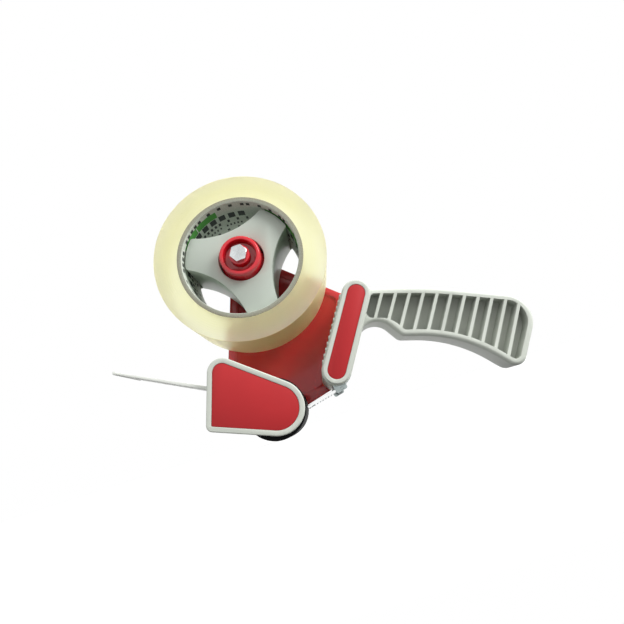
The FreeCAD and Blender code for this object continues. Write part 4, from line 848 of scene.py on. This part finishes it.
class DISPENSER_OT_roll(bpy.types.Operator):
    """Wind the roll of tape on its card core"""
    bl_idname = "dispenser.roll"
    bl_label = "Roll of Tape"

    def execute(self, context):
        sizes = context.scene.dispenser_sizes
        low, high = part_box("tape_roll")
        centre = middle("tape_roll")
        outer = (high.x - low.x) / 2
        inner = outer - ROLL_WALL
        draw = random.Random(ROLL_SEED)
        near, far = [], []
        for winding in range(sizes.windings):
            start = inner + (outer - inner) * winding / sizes.windings
            end = inner + (outer - inner) * (winding + 1) / sizes.windings
            back = draw.uniform(0, sizes.winding_step)
            near += [(start, low.y + back), (end, low.y + back)]
            far += [(start, high.y - back), (end, high.y - back)]
        roll = lathe("tape_windings", near + far[::-1], centre, ROLL_STEPS)
        show(roll, "tape", "tape_film", finish("wound_bopp_film"), "tape_roll")
        core_low, core_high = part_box("tape_core")
        core_outer = (core_high.x - core_low.x) / 2
        core_inner = core_outer - CARD_WALL
        core = lathe("card_core", [
            (core_inner, core_low.y), (core_outer, core_low.y), (core_outer, core_high.y),
            (core_inner, core_high.y)], centre, ROLL_STEPS, ease=CARD_EDGE)
        show(core, "tape", "core_card", finish("wound_card"), "tape_core")
        return {"FINISHED"}


class DISPENSER_OT_hub(bpy.types.Operator):
    """Round the edges of the three-lobed hub"""
    bl_idname = "dispenser.hub"
    bl_label = "Hub"

    def execute(self, context):
        edge = context.scene.dispenser_sizes.edge
        show(refined("hub", "hub_moulding", edge), "hub", "hub_plastic",
             finish("moulded_abs_hub"), "hub")
        return {"FINISHED"}


class DISPENSER_OT_brake(bpy.types.Operator):
    """Make the knob, its bolt, the washers and the spring"""
    bl_idname = "dispenser.brake"
    bl_label = "Brake"

    def execute(self, context):
        sizes = context.scene.dispenser_sizes
        zinc = finish("bright_zinc")
        show(refined("brake_knob", "knob_moulding", sizes.edge), "brake", "red_plastic",
             finish("moulded_pp_red"), "brake_knob")
        low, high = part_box("brake_bolt")
        centre = middle("brake_bolt")
        head = hexagon("brake_bolt_hex", low.y, sizes.hex_height, centre)
        shank, pitch = sizes.shank, sizes.thread_pitch
        under = low.y + sizes.hex_height * SHANK_SHARE
        profile = [(0, under), (shank, under), (shank, high.y - sizes.threaded - pitch)]
        profile += thread(sizes.root, shank, high.y - sizes.threaded, high.y - pitch, pitch)
        profile += [(sizes.root - pitch / 4, high.y), (0, high.y)]
        stem = lathe("brake_bolt_stem", profile, centre, BOLT_STEPS)
        bolt = joined(head, stem)
        smoothed(bolt)
        show(bolt, "brake", "zinc_plate", zinc, "brake_bolt")
        show(refined("pressure_washer", "pressure_ring", sizes.sheet_edge), "brake", "zinc_plate",
             zinc, "pressure_washer")
        show(refined("friction_washer", "felt_ring", sizes.sheet_edge), "brake", "brake_felt",
             finish("pressed_felt"), "friction_washer")
        show(coil_spring("spring_coil", "brake_spring", sizes.wire, sizes.coils), "brake",
             "spring_steel", finish("drawn_spring_steel"), "brake_spring")
        return {"FINISHED"}


class DISPENSER_OT_plate(bpy.types.Operator):
    """Ease the edges of the pressed side plate and of the sleeve on its stud"""
    bl_idname = "dispenser.plate"
    bl_label = "Side Plate"

    def execute(self, context):
        sizes = context.scene.dispenser_sizes
        show(refined("side_plate", "plate_pressing", sizes.sheet_edge), "frame", "red_enamel",
             finish("stoved_enamel"), "side_plate")
        show(refined("bearing_sleeve", "sleeve_tube", sizes.sheet_edge), "frame", "zinc_plate",
             finish("bright_zinc"), "bearing_sleeve")
        return {"FINISHED"}


class DISPENSER_OT_handle(bpy.types.Operator):
    """Round the edges of the handle, its cap and its panel"""
    bl_idname = "dispenser.handle"
    bl_label = "Handle"

    def execute(self, context):
        edge = context.scene.dispenser_sizes.edge
        grey = finish("moulded_abs_grey")
        show(refined("handle", "handle_moulding", edge), "frame", "grey_plastic", grey, "handle")
        show(refined("head_cap", "cap_moulding", edge), "frame", "grey_plastic", grey, "head_cap")
        show(refined("head_panel", "cap_panel", edge), "frame", "red_label",
             finish("moulded_abs_panel"), "head_panel")
        return {"FINISHED"}


class DISPENSER_OT_guard(bpy.types.Operator):
    """Round the edges of the guard beside the roller and of its panel"""
    bl_idname = "dispenser.guard"
    bl_label = "Guard"

    def execute(self, context):
        edge = context.scene.dispenser_sizes.edge
        show(refined("front_cover", "guard_moulding", edge), "frame", "grey_plastic",
             finish("moulded_abs_grey"), "front_cover")
        show(refined("front_panel", "guard_panel", edge), "frame", "red_label",
             finish("moulded_abs_panel"), "front_panel")
        return {"FINISHED"}


class DISPENSER_OT_roller(bpy.types.Operator):
    """Turn the roller's grooved tyre and finish its core, axle and washer"""
    bl_idname = "dispenser.roller"
    bl_label = "Roller"

    def execute(self, context):
        sizes = context.scene.dispenser_sizes
        zinc = finish("bright_zinc")
        low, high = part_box("roller_tyre")
        outer = (high.x - low.x) / 2
        inner = outer - TYRE_WALL
        soft, deep = sizes.edge, sizes.groove
        near = [(inner, low.y), (outer - soft, low.y), (outer, low.y + soft)]
        for inset in TYRE_GROOVES:
            near += [(outer, low.y + inset), (outer - deep, low.y + inset + deep),
                     (outer, low.y + inset + 2 * deep)]
        far = [(radius, low.y + high.y - y) for radius, y in reversed(near)]
        tyre = lathe("tyre_ring", near + far, middle("roller_tyre"), ROLL_STEPS)
        show(tyre, "roller", "black_rubber", finish("ground_rubber"), "roller_tyre")
        show(refined("roller_core", "core_moulding", sizes.edge), "roller", "white_plastic",
             finish("moulded_pp_white"), "roller_core")
        show(refined("roller_axle", "axle_pin", sizes.edge), "frame", "zinc_plate", zinc,
             "roller_axle")
        show(refined("axle_washer", "axle_ring", sizes.sheet_edge), "frame", "zinc_plate", zinc,
             "axle_washer")
        return {"FINISHED"}


class DISPENSER_OT_cutter(bpy.types.Operator):
    """Ease the blade's teeth and finish its bar"""
    bl_idname = "dispenser.cutter"
    bl_label = "Cutter"

    def execute(self, context):
        sheet_edge = context.scene.dispenser_sizes.sheet_edge
        show(refined("blade", "toothed_blade", sheet_edge), "frame", "blade_steel",
             finish("ground_blade_steel"), "blade")
        show(refined("blade_bar", "blade_carrier", sheet_edge), "frame", "zinc_plate",
             finish("bright_zinc"), "blade_bar")
        show(refined("blade_screws", "blade_screw_pair", sheet_edge), "frame", "zinc_plate",
             finish("bright_zinc"), "blade_screws")
        return {"FINISHED"}


class DISPENSER_OT_wiper(bpy.types.Operator):
    """Round the edges of the wiper leaf"""
    bl_idname = "dispenser.wiper"
    bl_label = "Wiper"

    def execute(self, context):
        sheet_edge = context.scene.dispenser_sizes.sheet_edge
        show(refined("wiper_leaf", "wiper_moulding", sheet_edge), "wiper", "wiper_plastic",
             finish("moulded_pp_wiper"), "wiper_leaf")
        show(refined("wiper_pin_rod", "wiper_pin", sheet_edge), "frame", "zinc_plate",
             finish("bright_zinc"), "wiper_pin_rod")
        return {"FINISHED"}


class DISPENSER_OT_gate(bpy.types.Operator):
    """Ease the edges of the gate behind the roller, its bracket, pin and screws"""
    bl_idname = "dispenser.gate"
    bl_label = "Gate"

    def execute(self, context):
        sheet_edge = context.scene.dispenser_sizes.sheet_edge
        zinc = finish("bright_zinc")
        show(refined("tape_gate", "gate_strip", sheet_edge), "gate", "zinc_plate",
             finish("pressed_zinc_gate"), "tape_gate")
        show(refined("gate_bracket", "bracket_pressing", sheet_edge), "frame", "zinc_plate",
             finish("dull_zinc"), "gate_bracket")
        show(refined("gate_pin_rod", "gate_pin", sheet_edge), "frame", "zinc_plate",
             finish("dull_zinc"), "gate_pin_rod")
        show(refined("bracket_screws", "bracket_screw_pair", sheet_edge), "frame", "zinc_plate", zinc,
             "bracket_screws")
        return {"FINISHED"}


class DISPENSER_OT_fasteners(bpy.types.Operator):
    """Make the nuts and the pan head screws"""
    bl_idname = "dispenser.fasteners"
    bl_label = "Fasteners"

    def execute(self, context):
        sizes = context.scene.dispenser_sizes
        zinc = finish("bright_zinc")
        low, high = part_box("stud_nut")
        centre = middle("stud_nut")
        nut = hexagon("stud_nut_hex", low.y, high.y - low.y, centre)
        over, bore = sizes.thread_pitch, sizes.shank + NUT_PLAY
        bored(nut, lathe("nut_bore", [
            (0, low.y - over), (bore, low.y - over), (bore, high.y + over), (0, high.y + over)],
            centre, BOLT_STEPS))
        smoothed(nut)
        twin = copied(nut, "axle_nut_hex", centre, middle("axle_nut"))
        show(nut, "frame", "zinc_plate", zinc, "stud_nut")
        show(twin, "frame", "zinc_plate", zinc, "axle_nut")
        for node, shank, head in (("head_screws", sizes.screw_shank, SCREW_HEAD),
                                  ("bar_screws", sizes.small_shank, SMALL_HEAD)):
            (low, high), (other_low, other_high) = solid_boxes(node)
            name, start, end = node[:-1], (low + high) / 2, (other_low + other_high) / 2
            facing = 1 if start.y >= 0 else -1
            screw = pan_screw(name + "_1", low, high, shank, head, facing)
            twin = copied(screw, name + "_2", start, end, 0 if start.y * end.y > 0 else math.pi)
            for piece in (screw, twin):
                show(piece, "frame", "zinc_plate", zinc, node)
        return {"FINISHED"}


class DISPENSER_OT_studio(bpy.types.Operator):
    """Lay the floor, set the lamps and place the camera"""
    bl_idname = "dispenser.studio"
    bl_label = "Studio"

    def execute(self, context):
        scene = context.scene
        levels = scene.studio_levels
        scene.view_settings.view_transform = "Standard"
        bpy.ops.object.select_all(action="DESELECT")
        bpy.ops.mesh.primitive_plane_add(size=FLOOR_WIDTH)
        floor = settle("studio_floor")
        floor.data.materials.append(floor_paper(levels))
        white_surroundings(scene, levels)
        lamp("key_lamp", KEY_SPOT, KEY_WIDTH, levels.key)
        lamp("fill_lamp", FILL_SPOT, FILL_WIDTH, levels.fill)
        place_camera(scene)
        return {"FINISHED"}


def camera_white(tree):
    """1 for rays from the camera or by way of a mirror or glass, else 0."""
    path = add_node(tree, "ShaderNodeLightPath")
    mirrored = add_node(tree, "ShaderNodeMath", {
        0: path.outputs["Is Camera Ray"], 1: path.outputs["Is Glossy Ray"]}, operation="MAXIMUM")
    through = add_node(tree, "ShaderNodeMath", {
        0: mirrored.outputs[0], 1: path.outputs["Is Transmission Ray"]}, operation="MAXIMUM")
    return through.outputs[0]


def floor_paper(levels):
    """Matt white paper that keeps the object's shadow."""
    material = bpy.data.materials.new("studio_paper")
    material.use_nodes = True
    tree = material.node_tree
    tree.nodes.clear()
    paper = add_node(tree, "ShaderNodeBsdfDiffuse", {"Color": rgba([levels.paper] * 3)})
    strength = add_node(tree, "ShaderNodeMath", {0: camera_white(tree), 1: levels.floor_glow},
                        operation="MULTIPLY")
    glow = add_node(tree, "ShaderNodeEmission", {"Strength": strength.outputs[0]})
    both = add_node(tree, "ShaderNodeAddShader", {0: paper.outputs[0], 1: glow.outputs[0]})
    add_node(tree, "ShaderNodeOutputMaterial", {"Surface": both.outputs[0]})
    return material


def white_surroundings(scene, levels):
    """White all round for the camera, and light that fades away from the lamp's side."""
    world = bpy.data.worlds.new("studio_white")
    world.use_nodes = True
    tree = world.node_tree
    tree.nodes.clear()
    heading = add_node(tree, "ShaderNodeTexCoord").outputs["Generated"]
    facing = add_node(tree, "ShaderNodeVectorMath", {0: heading, 1: LIT_FROM},
                      operation="DOT_PRODUCT")
    lit = add_node(tree, "ShaderNodeMapRange", {
        "Value": facing.outputs["Value"], "From Min": -0.7, "From Max": 1.0,
        "To Min": levels.shade, "To Max": levels.ambient})
    strength = add_node(tree, "ShaderNodeMapRange", {
        "Value": camera_white(tree), "To Min": lit.outputs[0], "To Max": 1.0})
    light = add_node(tree, "ShaderNodeBackground", {
        "Color": (1, 1, 1, 1), "Strength": strength.outputs[0]})
    add_node(tree, "ShaderNodeOutputWorld", {"Surface": light.outputs[0]})
    scene.world = world


def lamp(name, spot, size, power):
    """Soft square lamp that looks at the object."""
    bpy.ops.object.light_add(type="AREA", location=spot)
    light = bpy.context.object
    light.name = name
    light.data.energy = power
    light.data.size = size
    aim = Vector(LAMPS_AIM) - Vector(spot)
    light.rotation_euler = aim.to_track_quat("-Z", "Y").to_euler()


def place_camera(scene):
    """Camera before the open side, a little above the floor, as in the photograph."""
    forward = Vector(CAMERA_FORWARD).normalized()
    right = forward.cross(Vector(CAMERA_UP)).normalized()
    up = right.cross(forward)
    bpy.ops.object.camera_add()
    camera = bpy.context.object
    camera.name = "camera"
    turn = Matrix((right, up, -forward)).transposed().to_4x4()
    camera.matrix_world = Matrix.Translation(CAMERA_SPOT) @ turn
    camera.data.lens = CAMERA_LENS
    camera.data.clip_start = 10 * MM
    scene.camera = camera


class DISPENSER_PT_panel(bpy.types.Panel):
    bl_idname = "DISPENSER_PT_panel"
    bl_label = "Tape Dispenser"
    bl_space_type = "VIEW_3D"
    bl_region_type = "UI"
    bl_category = "Tape Dispenser"

    def draw(self, context):
        for group in (context.scene.dispenser_sizes, context.scene.dispenser_colours,
                      context.scene.studio_levels):
            for setting in group.bl_rna.properties.keys()[2:]:
                self.layout.prop(group, setting)
        for step in STEPS:
            self.layout.operator(step.bl_idname)


STEPS = (
    DISPENSER_OT_roll,
    DISPENSER_OT_hub,
    DISPENSER_OT_brake,
    DISPENSER_OT_plate,
    DISPENSER_OT_handle,
    DISPENSER_OT_guard,
    DISPENSER_OT_roller,
    DISPENSER_OT_cutter,
    DISPENSER_OT_wiper,
    DISPENSER_OT_gate,
    DISPENSER_OT_fasteners,
    DISPENSER_OT_studio,
)
CLASSES = (DispenserSizes, DispenserColours, StudioLevels, *STEPS, DISPENSER_PT_panel)


def register():
    for kind in CLASSES:
        bpy.utils.register_class(kind)
    bpy.types.Scene.dispenser_sizes = PointerProperty(type=DispenserSizes)
    bpy.types.Scene.dispenser_colours = PointerProperty(type=DispenserColours)
    bpy.types.Scene.studio_levels = PointerProperty(type=StudioLevels)


def unregister():
    del bpy.types.Scene.studio_levels
    del bpy.types.Scene.dispenser_colours
    del bpy.types.Scene.dispenser_sizes
    for kind in reversed(CLASSES):
        bpy.utils.unregister_class(kind)


def main():
    register()
    bpy.ops.dispenser.roll()
    bpy.ops.dispenser.hub()
    bpy.ops.dispenser.brake()
    bpy.ops.dispenser.plate()
    bpy.ops.dispenser.handle()
    bpy.ops.dispenser.guard()
    bpy.ops.dispenser.roller()
    bpy.ops.dispenser.cutter()
    bpy.ops.dispenser.wiper()
    bpy.ops.dispenser.gate()
    bpy.ops.dispenser.fasteners()
    bpy.ops.dispenser.studio()


if __name__ == "__main__":
    main()
